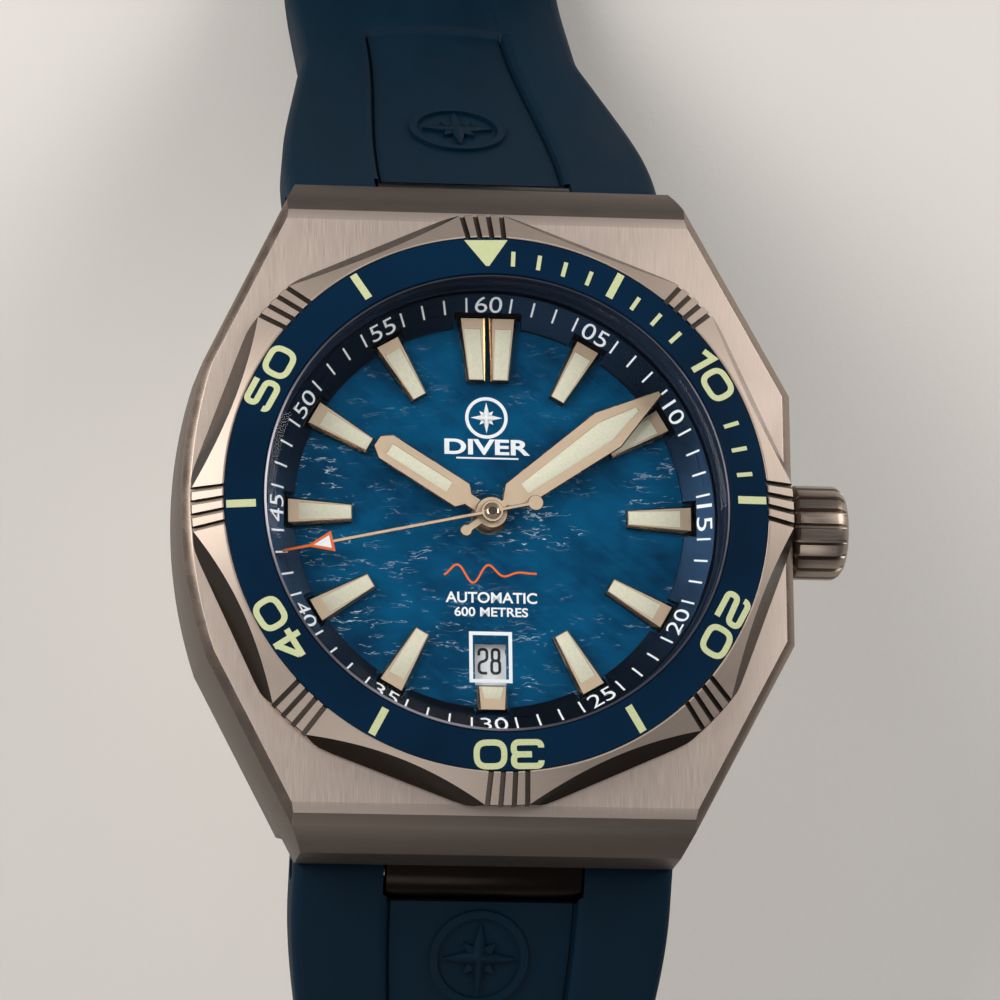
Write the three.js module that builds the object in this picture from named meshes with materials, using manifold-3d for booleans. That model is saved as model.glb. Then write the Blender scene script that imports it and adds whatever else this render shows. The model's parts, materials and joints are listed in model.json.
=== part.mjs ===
// A dive watch on a rubber strap, in millimetres, +Z out of the dial, +Y to 12 o'clock, +X to the crown.
// The origin is the centre of the case back's outer face. The strap is open, and its halves slope down from
// the lugs and run out flat, so that the watch stands on them as on two feet.
import * as THREE from "three";
import { mergeVertices } from "three/addons/utils/BufferGeometryUtils.js";
import Module from "manifold-3d";

const wasm = await Module();
wasm.setup();

// ---- driving dimensions ----------------------------------------------------------------------

const ROUND = 48; // facets of the large rings
const SMALL_ROUND = 16; // facets of pins and posts
const RUNNING_GAP = 0.05; // radial play of a shaft in its hole
const SEAT_GAP = 0.03; // air left between pieces that rest on each other

const CASE = {
  floorZ: 2.0, // underside of the case body
  topZ: 10.2, // brushed top face
  chamfer: 0.65,
  rightX: 21.23, // flat crown side
  rightCornerY: 9.07,
  leftCornerX: -20.04, // the side at 9 o'clock is a shallow arc between these corners
  leftCornerY: 10.56,
  leftBulge: 1.62,
  taper: 0.538, // how fast the flanks close towards the strap, per mm of Y
  leftTaper: 0.5,
  blankEndY: 26, // the outline runs on to here before the hoods are cut
  hoodStartY: 21.45, // the top face ends here and the convex end slope begins
  hoodEndY: 24.64,
  hoodEdgeZ: 8.0,
  hoodUnderZ: 4.32, // the strap's ears turn below this
  recessY: 22.45,
  chamberR: 15.2,
  backThreadR: 16.35,
  backThreadZ: 3.2,
  ringSeatR: 16.45,
  ringSeatZ: 8.6,
  crystalSeatR: 16.85,
  crystalSeatZ: 10.6,
  neckR: 17.9,
  neckZ: 12.2,
  tubeHoleR: 1.35,
};

const LUG = { halfWidth: 7.05, radius: 2.0, axisY: 24.6, axisZ: 2.25, barR: 0.75, barHalf: 13.3 };

const BACK = { flangeR: 17.5, flangeZ: 1.4, edge: 0.4, bossR: 16.1, bossZ: 3.0, hollowR: 14.6, skin: 0.9 };
const BACK_NOTCH = { count: 6, innerR: 15.6, halfWidth: 1.2, depth: 0.6 };

const BEZEL = {
  restDeg: 1.7, // the bezel stands this far anticlockwise of the case
  boreR: 18.05,
  underZ: 10.5,
  springRoom: { innerR: 18.35, outerR: 20.4, topZ: 10.95 }, // the click spring lies in this groove
  gasketGroove: { outerR: 18.45, lowZ: 11.6, highZ: 12.0 },
  edgeBreak: 0.25,
  seatGap: 0.04, // round the insert
  wallZ: 11.35,
  outerR: 21.75,
  rimR: 19.72,
  rimZ: 12.95,
  ledgeZ: 12.4,
  sides: 8,
  grooveDegs: [-3.8, -1.27, 1.27, 3.8],
  grooveWidth: 0.38,
  grooveDepth: 0.4,
  facetTopR: 19.95,
  facetFootR: 21.0,
  gasket: [17.96, 18.4, 11.64, 11.96], // inner and outer radius, low and high Z
};
const CLICK_SPRING = { innerR: 19.0, outerR: 19.8, startDeg: 200, endDeg: 262, topZ: 10.7 };

const INSERT = { innerR: 16.8, outerR: 19.56, underZ: 12.43, edgeZ: 12.9, innerZ: 13.28 };

const CRYSTAL = {
  radius: 16.5,
  seatR: 15.9,
  underZ: 10.95,
  shoulderZ: 13.3,
  bevelR: 15.95,
  bevelZ: 13.75,
  apexZ: 14.5,
};

const DIAL = { radius: 14.8, underZ: 8.1, topZ: 8.5, boreR: 1.3, dateR: 10.8, dateW: 2.3, dateH: 3.1 };

const MARKER = {
  outerR: 14.72,
  innerR: 9.9,
  outerW: 2.2,
  innerW: 1.3,
  bevel: 0.28,
  height: 0.7,
  plinth: 0.3, // the straight part under the bevel
  shortInnerR: 12.5,
  shortOuterR: 14.45,
  pairOuter: 2.27, // spacing of the two blocks at 12 o'clock, at their outer and inner ends
  pairInner: 1.72,
  pairOuterW: 2.1,
  pairInnerW: 1.4,
};

const RING = {
  innerR: 14.1,
  seatR: 15.1,
  outerR: 16.3,
  innerZ: 8.95,
  outerZ: 10.3,
  rimWidth: 0.2,
  notchR: 14.9,
  notchW: 2.7,
  pairNotchW: 4.9,
};

// A hand's outline is its right half, [half width, distance from the centre]. deg is clockwise from 12.
const HOUR_HAND = {
  deg: 302.5,
  outline: [[0.5, 0], [0.5, 1.9], [1.05, 2.4], [1.05, 8.9], [0.45, 9.7]],
  hubR: 1.18,
  boreR: 1.02,
  layer: [9.34, 9.56],
};
const MINUTE_HAND = {
  deg: 53.5,
  outline: [[0.3, -2.3], [0.3, 1.2], [1.12, 2.07], [1.58, 10.6], [0.2, 15.4]],
  hubR: 1.18,
  boreR: 0.67,
  layer: [9.76, 9.98],
  tailR: 0.45,
};
const SECOND_HAND = {
  deg: 257.8,
  outline: [[0.135, -3.2], [0.135, 11.7], [0.75, 11.7], [0.13, 13.5], [0.1, 15.4]],
  hubR: 0.8,
  boreR: 0.3,
  layer: [10.2, 10.36],
  tailR: 0.57,
};

const STEM_Z = 6.1;
const CROWN = {
  innerX: 22.2,
  outerX: 26.3,
  radius: 3.4,
  innerEdge: 0.35,
  outerEdge: 0.6,
  flutes: 18,
  land: 0.55, // share of a flute's pitch
  groove: [0.66, 0.89],
  fluteDepth: 0.32,
  socketR: 1.75,
  socketX: 24.5,
  stemHoleR: 0.48,
  stemHoleDepth: 0.7,
};
const STEM = { radius: 0.44, innerX: 4.9, tubeInnerR: 0.75, tubeOuterR: 1.25, tubeX: [15.6, 24.3] };
const CROWN_GASKET = [1.3, 1.7, 22.5, 22.9]; // inner and outer radius, from X to X
const SLIDING_PINION = { radius: 1.05, teeth: 10, from: 5.4, to: 7.4, boreR: 0.5 };

const HOLDER = { innerR: 13.0, outerR: 14.9, lowZ: 3.6, highZ: 8.05 };
const PLATE = { radius: 12.8, underZ: 5.6, topZ: 7.05, boreR: 1.0 };
const BRIDGE = { radius: 12.5, underZ: 3.05, topZ: 3.55, postR: 1.4, postRoomR: 1.8 };
const BARREL = { x: -6.0, y: 5.8, radius: 4.35, teeth: 32, boreR: 0.6, ratchetR: 3.4, ratchetTeeth: 24 };
const THIRD = { x: 4.4, y: 3.4, radius: 4.8, teeth: 42, pinionR: 0.6 };
const FOURTH = { radius: 3.68, teeth: 40, pinionR: 0.7, arborR: 0.25, topZ: 10.42 };
const ESCAPE = { x: -1.0, y: -4.08, radius: 2.2, teeth: 15, toothDepth: 0.5, pinionR: 0.46 };
const PALLET = { x: -3.6, y: -5.9, lever: 2.2, tail: 0.3, anchorHalf: 0.85, topZ: 4.25 };
const BALANCE = { x: -6.4, y: -7.0, radius: 3.2, rim: 0.45 };
const HAIRSPRING = { innerR: 0.6, pitch: 0.55, turns: 2.5 };
const MINUTE_WHEEL = { x: -2.6, y: 2.343, radius: 2.6, teeth: 30, pinionR: 0.68 };
const HOUR_WHEEL = { radius: 2.75, teeth: 32, pipeR: 0.97, boreR: 0.72 };
const CANNON = { radius: 0.86, teeth: 10, pipeR: 0.62, boreR: 0.31 };
const DATE_WHEEL = { innerR: 9.2, outerR: 12.5 };
const ROTOR = { radius: 12.4, weightR: 10.2, hubR: 1.9, boreR: 0.95, bearingR: 0.88, bearingZ: 1.6 };
const ARBOR = { radius: 0.2, lowZ: 3.65, highZ: 5.5 };
// Each wheel's layer in the movement, from low Z to high Z.
const LAYER = {
  hourWheel: [7.46, 7.7],
  cannonPinion: [7.12, 7.38],
  minuteWheel: [7.14, 7.36],
  minutePinion: [7.3, 7.7],
  dateWheel: [7.46, 7.76],
  barrel: [3.8, 5.0],
  ratchet: [2.72, 2.95],
  third: [4.0, 4.22],
  thirdPinion: [4.1, 4.9],
  fourth: [4.5, 4.72],
  fourthPinion: [3.95, 4.6],
  escape: [3.9, 4.08],
  escapePinion: [4.0, 4.9],
  palletFork: [3.9, 4.1],
  balanceRim: [4.3, 4.6],
  balanceSpoke: [4.35, 4.55],
  hairspring: [4.8, 5.0],
  rotorPlate: [2.2, 2.5],
  rotorWeight: [1.5, 2.3],
};

const STRAP = {
  earR: 1.95,
  earHalfWidth: 13.7,
  bodyHalfWidth: 10.5,
  endHalfWidth: 10.1,
  taperStart: 2,
  taperEnd: 27,
  caseThickness: 3.9,
  endThickness: 2.8,
  thinStart: 6,
  thinEnd: 36,
  notchR: 2.3,
  notchHalf: 7.25,
};
// Each half leaves the case straight, levels out in one arc and ends flat. side is +1 at 12 o'clock, and
// drop is from the lug bar down to the middle of the flat end. The short half lies on its keepers.
const UPPER = { side: 1, slopeDeg: 47, bendR: 22, drop: 29.9, length: 80 };
const LOWER = { side: -1, slopeDeg: 29, bendR: 60, drop: 31.45, length: 105 };
const TIP = 7; // length of the long half's rounded end
const HOLES = { count: 7, pitch: 5.5, first: 12, radius: 1.1 };
const BUCKLE = {
  pinFromEnd: 1.75,
  slotHalf: 1.6,
  slotDepth: 3.2,
  innerHalf: 10.5,
  armWidth: 1.8,
  armBack: 1.6, // the arms run back past the pin
  reach: 12.5,
  thickness: 1.8,
  barWidth: 2.4,
  pinR: 0.7,
};
const TONGUE = { width: 2.2, eyeR: 1.3, underZ: 0.35, topZ: 1.25, overhang: 0.2, seatZ: 0.1 };
const KEEPER = { wall: 1.2, width: 5, play: 0.35, room: 3.2, fixedAt: 66, freeAt: 57 };

// ---- helpers ---------------------------------------------------------------------------------

const rad = THREE.MathUtils.degToRad;

// A closed geometry as a solid that can be joined and cut.
function solid(geometry) {
  const bare = geometry.clone();
  bare.deleteAttribute("normal");
  bare.deleteAttribute("uv");
  const merged = mergeVertices(bare, 1e-4);
  const index = merged.index.array;
  const triangles = [];
  for (let i = 0; i < index.length; i += 3) {
    const [a, b, c] = [index[i], index[i + 1], index[i + 2]];
    if (a !== b && b !== c && c !== a) triangles.push([a, b, c]);
  }
  const build = (list) =>
    new wasm.Manifold(
      new wasm.Mesh({
        numProp: 3,
        vertProperties: merged.attributes.position.array,
        triVerts: new Uint32Array(list.flat()),
      }),
    );
  const made = build(triangles);
  return made.volume() < 0 ? build(triangles.map((t) => t.reverse())) : made;
}

function geometryOf(made) {
  const mesh = made.getMesh();
  const geometry = new THREE.BufferGeometry();
  geometry.setAttribute("position", new THREE.BufferAttribute(mesh.vertProperties, 3));
  geometry.setIndex(new THREE.BufferAttribute(mesh.triVerts, 1));
  const flat = geometry.toNonIndexed();
  flat.computeVertexNormals();
  return flat;
}

const join = (first, ...rest) => geometryOf(rest.reduce((sum, g) => sum.add(solid(g)), solid(first)));
const cut = (first, ...rest) => geometryOf(rest.reduce((left, g) => left.subtract(solid(g)), solid(first)));
const clip = (first, second) => geometryOf(solid(first).intersect(solid(second)));

// A profile of [radius, height] points turned about Z.
function revolve(profile, facets = ROUND) {
  const onAxis = profile[0][0] === 0 && profile.at(-1)[0] === 0;
  const loop = onAxis ? profile : [...profile, profile[0]];
  const points = loop.map(([r, z]) => new THREE.Vector2(r, z));
  return new THREE.LatheGeometry(points, facets).rotateX(Math.PI / 2);
}

const ring = (innerR, outerR, zLow, zHigh, facets = ROUND) =>
  revolve([[innerR, zLow], [outerR, zLow], [outerR, zHigh], [innerR, zHigh]], facets);

const rod = (radius, zLow, zHigh, facets = SMALL_ROUND) =>
  new THREE.CylinderGeometry(radius, radius, zHigh - zLow, facets)
    .rotateX(Math.PI / 2)
    .translate(0, 0, (zLow + zHigh) / 2);

const alongX = (geometry, y = 0, z = 0) => geometry.rotateY(Math.PI / 2).translate(0, y, z);

const box = (x0, x1, y0, y1, z0, z1) =>
  new THREE.BoxGeometry(x1 - x0, y1 - y0, z1 - z0).translate((x0 + x1) / 2, (y0 + y1) / 2, (z0 + z1) / 2);

const outline = (points) => new THREE.Shape(points.map(([x, y]) => new THREE.Vector2(x, y)));

const prism = (shape, zLow, zHigh) =>
  new THREE.ExtrudeGeometry(Array.isArray(shape) ? outline(shape) : shape, {
    depth: zHigh - zLow,
    bevelEnabled: false,
    curveSegments: 12,
  }).translate(0, 0, zLow);

// A side view of [y, z] points, drawn out between two X values.
function prismX(points, x0, x1) {
  const toX = new THREE.Matrix4().makeBasis(
    new THREE.Vector3(0, 1, 0),
    new THREE.Vector3(0, 0, 1),
    new THREE.Vector3(1, 0, 0),
  );
  return prism(points, x0, x1).applyMatrix4(toX);
}

// Four-cornered sections joined in order and closed by flat ends.
function loft(sections) {
  const corners = sections[0].length;
  const index = [];
  for (let s = 0; s + 1 < sections.length; s++)
    for (let c = 0; c < corners; c++) {
      const [a, b] = [s * corners + c, s * corners + ((c + 1) % corners)];
      index.push(a, b, b + corners, a, b + corners, a + corners);
    }
  const last = (sections.length - 1) * corners;
  for (let c = 1; c + 1 < corners; c++) index.push(0, c + 1, c, last, last + c, last + c + 1);
  const geometry = new THREE.BufferGeometry();
  geometry.setAttribute("position", new THREE.Float32BufferAttribute(sections.flat(2), 3));
  geometry.setIndex(index);
  return geometryOf(solid(geometry));
}

const clockwise = (geometry, degrees) => geometry.rotateZ(-rad(degrees));

// A wheel whose teeth stop short of its neighbour's, so that it clears it at every angle.
function gear(tipR, teeth, zLow, zHigh, depth = 0.22) {
  const points = [];
  for (let i = 0; i < 2 * teeth; i++) {
    const radius = i % 2 ? tipR : tipR - depth;
    const angle = (Math.PI * i) / teeth;
    points.push([radius * Math.cos(angle), radius * Math.sin(angle)]);
  }
  return prism(points, zLow, zHigh);
}

const watch = new THREE.Group();

function add(name, geometry, material, parent = watch) {
  const mesh = new THREE.Mesh(geometry, material);
  mesh.name = name;
  parent.add(mesh);
  return mesh;
}

const metal = (color, roughness) => new THREE.MeshStandardMaterial({ color, roughness, metalness: 1 });
const matt = (color, roughness) => new THREE.MeshStandardMaterial({ color, roughness, metalness: 0 });

const STEEL = metal(0xcdc2b6, 0.35);
const DARK_STEEL = metal(0x8d867e, 0.3);
const CHAMPAGNE = metal(0xc3ab92, 0.3);
const BRASS = metal(0xc8a25c, 0.35);
const SPRING_STEEL = metal(0x5a6a90, 0.3);
const CERAMIC = matt(0x062c52, 0.12);
const DIAL_BLUE = matt(0x0b4f8c, 0.4);
const RING_BLUE = matt(0x14283e, 0.45);
const RUBBER = matt(0x15293a, 0.7);
const SEAL = matt(0x141414, 0.8);
const PLASTIC = matt(0xd8d8d2, 0.6);
const SAPPHIRE = new THREE.MeshStandardMaterial({
  color: 0xe8f0ff,
  roughness: 0.02,
  metalness: 0,
  transparent: true,
  opacity: 0.3,
});

// ---- case ------------------------------------------------------------------------------------

function caseOutline() {
  const endY = CASE.blankEndY;
  const rightEndX = CASE.rightX - CASE.taper * (endY - CASE.rightCornerY);
  const leftEndX = CASE.leftCornerX + CASE.leftTaper * (endY - CASE.leftCornerY);
  const arcR = (CASE.leftCornerY ** 2 + CASE.leftBulge ** 2) / (2 * CASE.leftBulge);
  const centreX = CASE.leftCornerX - CASE.leftBulge + arcR;
  const half = Math.asin(CASE.leftCornerY / arcR);
  const shape = new THREE.Shape();
  shape.moveTo(rightEndX, -endY);
  shape.lineTo(CASE.rightX, -CASE.rightCornerY);
  shape.lineTo(CASE.rightX, CASE.rightCornerY);
  shape.lineTo(rightEndX, endY);
  shape.lineTo(leftEndX, endY);
  shape.absarc(centreX, 0, arcR, Math.PI - half, Math.PI + half, false);
  shape.lineTo(leftEndX, -endY);
  return shape;
}

// What is taken off one end: the convex slope above the strap, and the room under the hood.
function hoodCut(side) {
  const steps = 5;
  const slope = [];
  for (let i = 0; i <= steps; i++) {
    const t = i / steps;
    const bulge = 0.35 * 4 * t * (1 - t);
    slope.push([
      side * (CASE.hoodStartY + t * (CASE.hoodEndY - CASE.hoodStartY) + bulge * 0.5),
      CASE.topZ - t * (CASE.topZ - CASE.hoodEdgeZ) + bulge,
    ]);
  }
  const beyond = 30;
  return prismX(
    [
      ...slope,
      [side * CASE.hoodEndY, CASE.hoodUnderZ],
      [side * CASE.recessY, CASE.hoodUnderZ],
      [side * CASE.recessY, -1],
      [side * beyond, -1],
      [side * beyond, CASE.topZ + 3],
      [side * CASE.hoodStartY, CASE.topZ + 3],
    ],
    -30,
    30,
  );
}

// The lug on the middle of each end, which the strap's two ears straddle.
function lug(side) {
  const { radius, axisY, axisZ, halfWidth } = LUG;
  const points = [[side * 18.2, axisZ - radius]];
  for (let deg = -90; deg <= 90; deg += 18)
    points.push([side * (axisY + radius * Math.cos(rad(deg))), axisZ + radius * Math.sin(rad(deg))]);
  points.push([side * (axisY - 0.3), CASE.hoodUnderZ + 0.4], [side * 19.5, CASE.hoodUnderZ + 0.4]);
  points.push([side * 18.2, CASE.floorZ + 0.6]);
  return prismX(points, -halfWidth, halfWidth);
}

function caseMiddle() {
  const depth = CASE.topZ - CASE.floorZ - 2 * CASE.chamfer;
  const block = new THREE.ExtrudeGeometry(caseOutline(), {
    depth,
    bevelThickness: CASE.chamfer,
    bevelSize: CASE.chamfer,
    bevelSegments: 1,
    curveSegments: 14,
  }).translate(0, 0, CASE.floorZ + CASE.chamfer);
  const ended = cut(block, hoodCut(1), hoodCut(-1));
  const whole = join(ended, lug(1), lug(-1), rod(CASE.neckR, CASE.topZ - 1, CASE.neckZ, ROUND));
  const below = -2;
  const above = 16;
  const bore = revolve([
    [0, below],
    [CASE.backThreadR, below],
    [CASE.backThreadR, CASE.backThreadZ],
    [CASE.chamberR, CASE.backThreadZ],
    [CASE.chamberR, CASE.ringSeatZ],
    [CASE.ringSeatR, CASE.ringSeatZ],
    [CASE.ringSeatR, CASE.crystalSeatZ],
    [CASE.crystalSeatR, CASE.crystalSeatZ],
    [CASE.crystalSeatR, above],
    [0, above],
  ]);
  const barHole = () => alongX(rod(LUG.barR + RUNNING_GAP, -10, 10), 0, LUG.axisZ);
  return cut(
    whole,
    bore,
    alongX(rod(CASE.tubeHoleR, 12, 24), 0, STEM_Z),
    barHole().translate(0, LUG.axisY, 0),
    barHole().translate(0, -LUG.axisY, 0),
  );
}

function caseBack() {
  const plain = revolve([
    [0, 0],
    [BACK.flangeR - BACK.edge, 0],
    [BACK.flangeR, BACK.edge],
    [BACK.flangeR, BACK.flangeZ],
    [BACK.bossR, BACK.flangeZ],
    [BACK.bossR, BACK.bossZ],
    [BACK.hollowR, BACK.bossZ],
    [BACK.hollowR, BACK.skin],
    [0, BACK.skin],
  ]);
  const notches = [];
  const { count, innerR, halfWidth, depth } = BACK_NOTCH;
  for (let i = 0; i < count; i++) {
    const notch = box(innerR, BACK.flangeR + 1, -halfWidth, halfWidth, -1, depth);
    notches.push(notch.rotateZ((2 * Math.PI * i) / count));
  }
  return cut(plain, ...notches);
}

add("case_middle", caseMiddle(), STEEL);
add("case_back", caseBack(), STEEL);
add("case_back_gasket", ring(16.6, 17.3, BACK.flangeZ + SEAT_GAP, CASE.floorZ - SEAT_GAP, 36), SEAL);
const crownTube = ring(STEM.tubeInnerR, STEM.tubeOuterR, ...STEM.tubeX, SMALL_ROUND);
add("crown_tube", alongX(crownTube, 0, STEM_Z), STEEL);
for (const [name, side] of [["upper_lug_bar", 1], ["lower_lug_bar", -1]])
  add(name, alongX(rod(LUG.barR, -LUG.barHalf, LUG.barHalf), side * LUG.axisY, LUG.axisZ), DARK_STEEL);

add(
  "crystal_gasket",
  revolve([
    [CRYSTAL.seatR, CASE.crystalSeatZ + SEAT_GAP],
    [CASE.crystalSeatR - SEAT_GAP, CASE.crystalSeatZ + SEAT_GAP],
    [CASE.crystalSeatR - SEAT_GAP, CASE.neckZ],
    [CRYSTAL.radius + SEAT_GAP, CASE.neckZ],
    [CRYSTAL.radius + SEAT_GAP, CRYSTAL.underZ - SEAT_GAP],
    [CRYSTAL.seatR, CRYSTAL.underZ - SEAT_GAP],
  ]),
  PLASTIC,
);

function crystal() {
  const dome = [];
  for (let i = 0; i <= 3; i++) {
    const r = CRYSTAL.bevelR * (1 - i / 3);
    dome.push([r, CRYSTAL.apexZ - (CRYSTAL.apexZ - CRYSTAL.bevelZ) * (r / CRYSTAL.bevelR) ** 2]);
  }
  return revolve([
    [0, CRYSTAL.underZ],
    [CRYSTAL.radius, CRYSTAL.underZ],
    [CRYSTAL.radius, CRYSTAL.shoulderZ],
    ...dome,
  ]);
}
add("crystal", crystal(), SAPPHIRE);

// ---- bezel -----------------------------------------------------------------------------------

const bezel = new THREE.Group();
bezel.rotation.z = rad(BEZEL.restDeg);
watch.add(bezel);

function bezelRing() {
  const { springRoom, gasketGroove, edgeBreak } = BEZEL;
  const turned = revolve([
    [BEZEL.boreR, BEZEL.underZ],
    [springRoom.innerR, BEZEL.underZ],
    [springRoom.innerR, springRoom.topZ],
    [springRoom.outerR, springRoom.topZ],
    [springRoom.outerR, BEZEL.underZ],
    [BEZEL.outerR - edgeBreak, BEZEL.underZ],
    [BEZEL.outerR, BEZEL.underZ + edgeBreak],
    [BEZEL.outerR, BEZEL.wallZ],
    [BEZEL.rimR, BEZEL.rimZ],
    [INSERT.outerR + BEZEL.seatGap, BEZEL.rimZ],
    [INSERT.outerR + BEZEL.seatGap, BEZEL.ledgeZ],
    [BEZEL.boreR, BEZEL.ledgeZ],
    [BEZEL.boreR, gasketGroove.highZ],
    [gasketGroove.outerR, gasketGroove.highZ],
    [gasketGroove.outerR, gasketGroove.lowZ],
    [BEZEL.boreR, gasketGroove.lowZ],
  ]);
  const tools = [];
  const coneFall = Math.atan2(BEZEL.rimZ - BEZEL.wallZ, BEZEL.outerR - BEZEL.rimR);
  const facetFall = Math.atan2(BEZEL.rimZ - BEZEL.underZ, BEZEL.facetFootR - BEZEL.facetTopR);
  for (let i = 0; i < BEZEL.sides; i++) {
    const middle = (360 / BEZEL.sides) * i;
    for (const deg of BEZEL.grooveDegs) {
      const half = BEZEL.grooveWidth / 2;
      const groove = box(-0.6, 6, -half, half, -BEZEL.grooveDepth, 3);
      groove.rotateY(coneFall).translate(BEZEL.rimR, 0, BEZEL.rimZ);
      tools.push(groove.rotateZ(rad(middle + deg)));
    }
    // a flat face struck off between the grooved groups
    const flat = box(-3, 8, -9, 9, 0, 6).rotateY(facetFall).translate(BEZEL.facetTopR, 0, BEZEL.rimZ);
    tools.push(flat.rotateZ(rad(middle + 180 / BEZEL.sides)));
  }
  return cut(turned, ...tools);
}
add("bezel_ring", bezelRing(), DARK_STEEL, bezel);
add(
  "bezel_insert",
  revolve([
    [INSERT.innerR, INSERT.underZ],
    [INSERT.outerR, INSERT.underZ],
    [INSERT.outerR, INSERT.edgeZ],
    [INSERT.innerR, INSERT.innerZ],
  ]),
  CERAMIC,
  bezel,
);
add("bezel_gasket", ring(...BEZEL.gasket), SEAL, bezel);

function clickSpring() {
  const { innerR, outerR, startDeg, endDeg, topZ } = CLICK_SPRING;
  const shape = new THREE.Shape();
  shape.absarc(0, 0, outerR, rad(startDeg), rad(endDeg), false);
  shape.absarc(0, 0, innerR, rad(endDeg), rad(startDeg), true);
  return prism(shape, CASE.topZ + SEAT_GAP, topZ);
}
add("bezel_click_spring", clickSpring(), SPRING_STEEL);

// ---- dial, chapter ring and hour markers -----------------------------------------------------

const halfDate = DIAL.dateW / 2;
add(
  "dial",
  cut(
    rod(DIAL.radius, DIAL.underZ, DIAL.topZ, ROUND),
    rod(DIAL.boreR, 7, 9),
    box(-halfDate, halfDate, -DIAL.dateR - DIAL.dateH / 2, -DIAL.dateR + DIAL.dateH / 2, 7, 9),
  ),
  DIAL_BLUE,
);

function chapterRing() {
  const plain = revolve([
    [RING.innerR, DIAL.topZ + SEAT_GAP],
    [RING.seatR, DIAL.topZ + SEAT_GAP],
    [RING.seatR, CASE.ringSeatZ + SEAT_GAP],
    [RING.outerR, CASE.ringSeatZ + SEAT_GAP],
    [RING.outerR, RING.outerZ],
    [RING.outerR - RING.rimWidth, RING.outerZ],
    [RING.innerR, RING.innerZ],
  ]);
  const notches = [];
  for (let hour = 0; hour < 12; hour++) {
    const half = (hour === 0 ? RING.pairNotchW : RING.notchW) / 2;
    notches.push(clockwise(box(-half, half, 13, RING.notchR, 8, 11), 30 * hour));
  }
  return cut(plain, ...notches);
}
add("chapter_ring", chapterRing(), RING_BLUE);

// A bevelled block: wide at its outer end, its top smaller than its foot by the bevel all round.
function marker(outerR, innerR, outerW, innerW, outerX = 0, innerX = 0) {
  const section = (inset, z) => [
    [outerX - outerW / 2 + inset, outerR - inset, z],
    [outerX + outerW / 2 - inset, outerR - inset, z],
    [innerX + innerW / 2 - inset, innerR + inset, z],
    [innerX - innerW / 2 + inset, innerR + inset, z],
  ];
  const foot = DIAL.topZ + SEAT_GAP;
  const { bevel, height, plinth } = MARKER;
  return loft([section(0, foot), section(0, foot + plinth), section(bevel, foot + height)]);
}

for (const [name, side] of [["marker_12_left", -1], ["marker_12_right", 1]]) {
  const { outerR, innerR, pairOuterW, pairInnerW, pairOuter, pairInner } = MARKER;
  const [outerX, innerX] = [(side * pairOuter) / 2, (side * pairInner) / 2];
  add(name, marker(outerR, innerR, pairOuterW, pairInnerW, outerX, innerX), CHAMPAGNE);
}
for (let hour = 1; hour < 12; hour++) {
  const short = hour === 6;
  const outerR = short ? MARKER.shortOuterR : MARKER.outerR;
  const innerR = short ? MARKER.shortInnerR : MARKER.innerR;
  const innerW = short ? MARKER.outerW : MARKER.innerW;
  const name = "marker_" + String(hour).padStart(2, "0");
  add(name, clockwise(marker(outerR, innerR, MARKER.outerW, innerW), 30 * hour), CHAMPAGNE);
}

// ---- hands -----------------------------------------------------------------------------------

const mirrored = (right) => [...right, ...right.toReversed().map(([x, y]) => [-x, y])];

function hand({ deg, outline: right, hubR, boreR, layer, tailR }) {
  const blade = prism(mirrored(right), ...layer);
  const tail = tailR ? [rod(tailR, ...layer).translate(0, right[0][1], 0)] : [];
  const whole = join(blade, rod(hubR, ...layer, 24), ...tail);
  return clockwise(cut(whole, rod(boreR, layer[0] - 1, layer[1] + 1)), deg);
}
add("hour_hand", hand(HOUR_HAND), CHAMPAGNE);
add("minute_hand", hand(MINUTE_HAND), CHAMPAGNE);
add("second_hand", hand(SECOND_HAND), CHAMPAGNE);

// ---- motion work, under the dial -------------------------------------------------------------

add(
  "hour_wheel",
  cut(
    join(
      gear(HOUR_WHEEL.radius, HOUR_WHEEL.teeth, ...LAYER.hourWheel),
      rod(HOUR_WHEEL.pipeR, LAYER.hourWheel[0], HOUR_HAND.layer[1], 24),
    ),
    rod(HOUR_WHEEL.boreR, 7, 10),
  ),
  BRASS,
);
add(
  "cannon_pinion",
  cut(
    join(
      gear(CANNON.radius, CANNON.teeth, ...LAYER.cannonPinion, 0.14),
      rod(CANNON.pipeR, LAYER.cannonPinion[0], MINUTE_HAND.layer[1]),
    ),
    rod(CANNON.boreR, 7, 11),
  ),
  SPRING_STEEL,
);
add(
  "minute_wheel",
  join(
    gear(MINUTE_WHEEL.radius, MINUTE_WHEEL.teeth, ...LAYER.minuteWheel),
    gear(MINUTE_WHEEL.pinionR, 8, ...LAYER.minutePinion, 0.12),
  ).translate(MINUTE_WHEEL.x, MINUTE_WHEEL.y, 0),
  BRASS,
);
add("date_wheel", ring(DATE_WHEEL.innerR, DATE_WHEEL.outerR, ...LAYER.dateWheel), matt(0xe8e8e4, 0.5));

// ---- movement --------------------------------------------------------------------------------

const holderSlot = box(10, 16, -0.8, 0.8, 5.2, 7.0);
const holder = ring(HOLDER.innerR, HOLDER.outerR, HOLDER.lowZ, HOLDER.highZ);
add("movement_holder", cut(holder, holderSlot), PLASTIC);

const keylessSlot = box(4.4, 14, -1.5, 1.5, 5, 8);
const plate = rod(PLATE.radius, PLATE.underZ, PLATE.topZ, ROUND);
add("main_plate", cut(plate, rod(PLATE.boreR, 4, 9), keylessSlot), BRASS);

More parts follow.
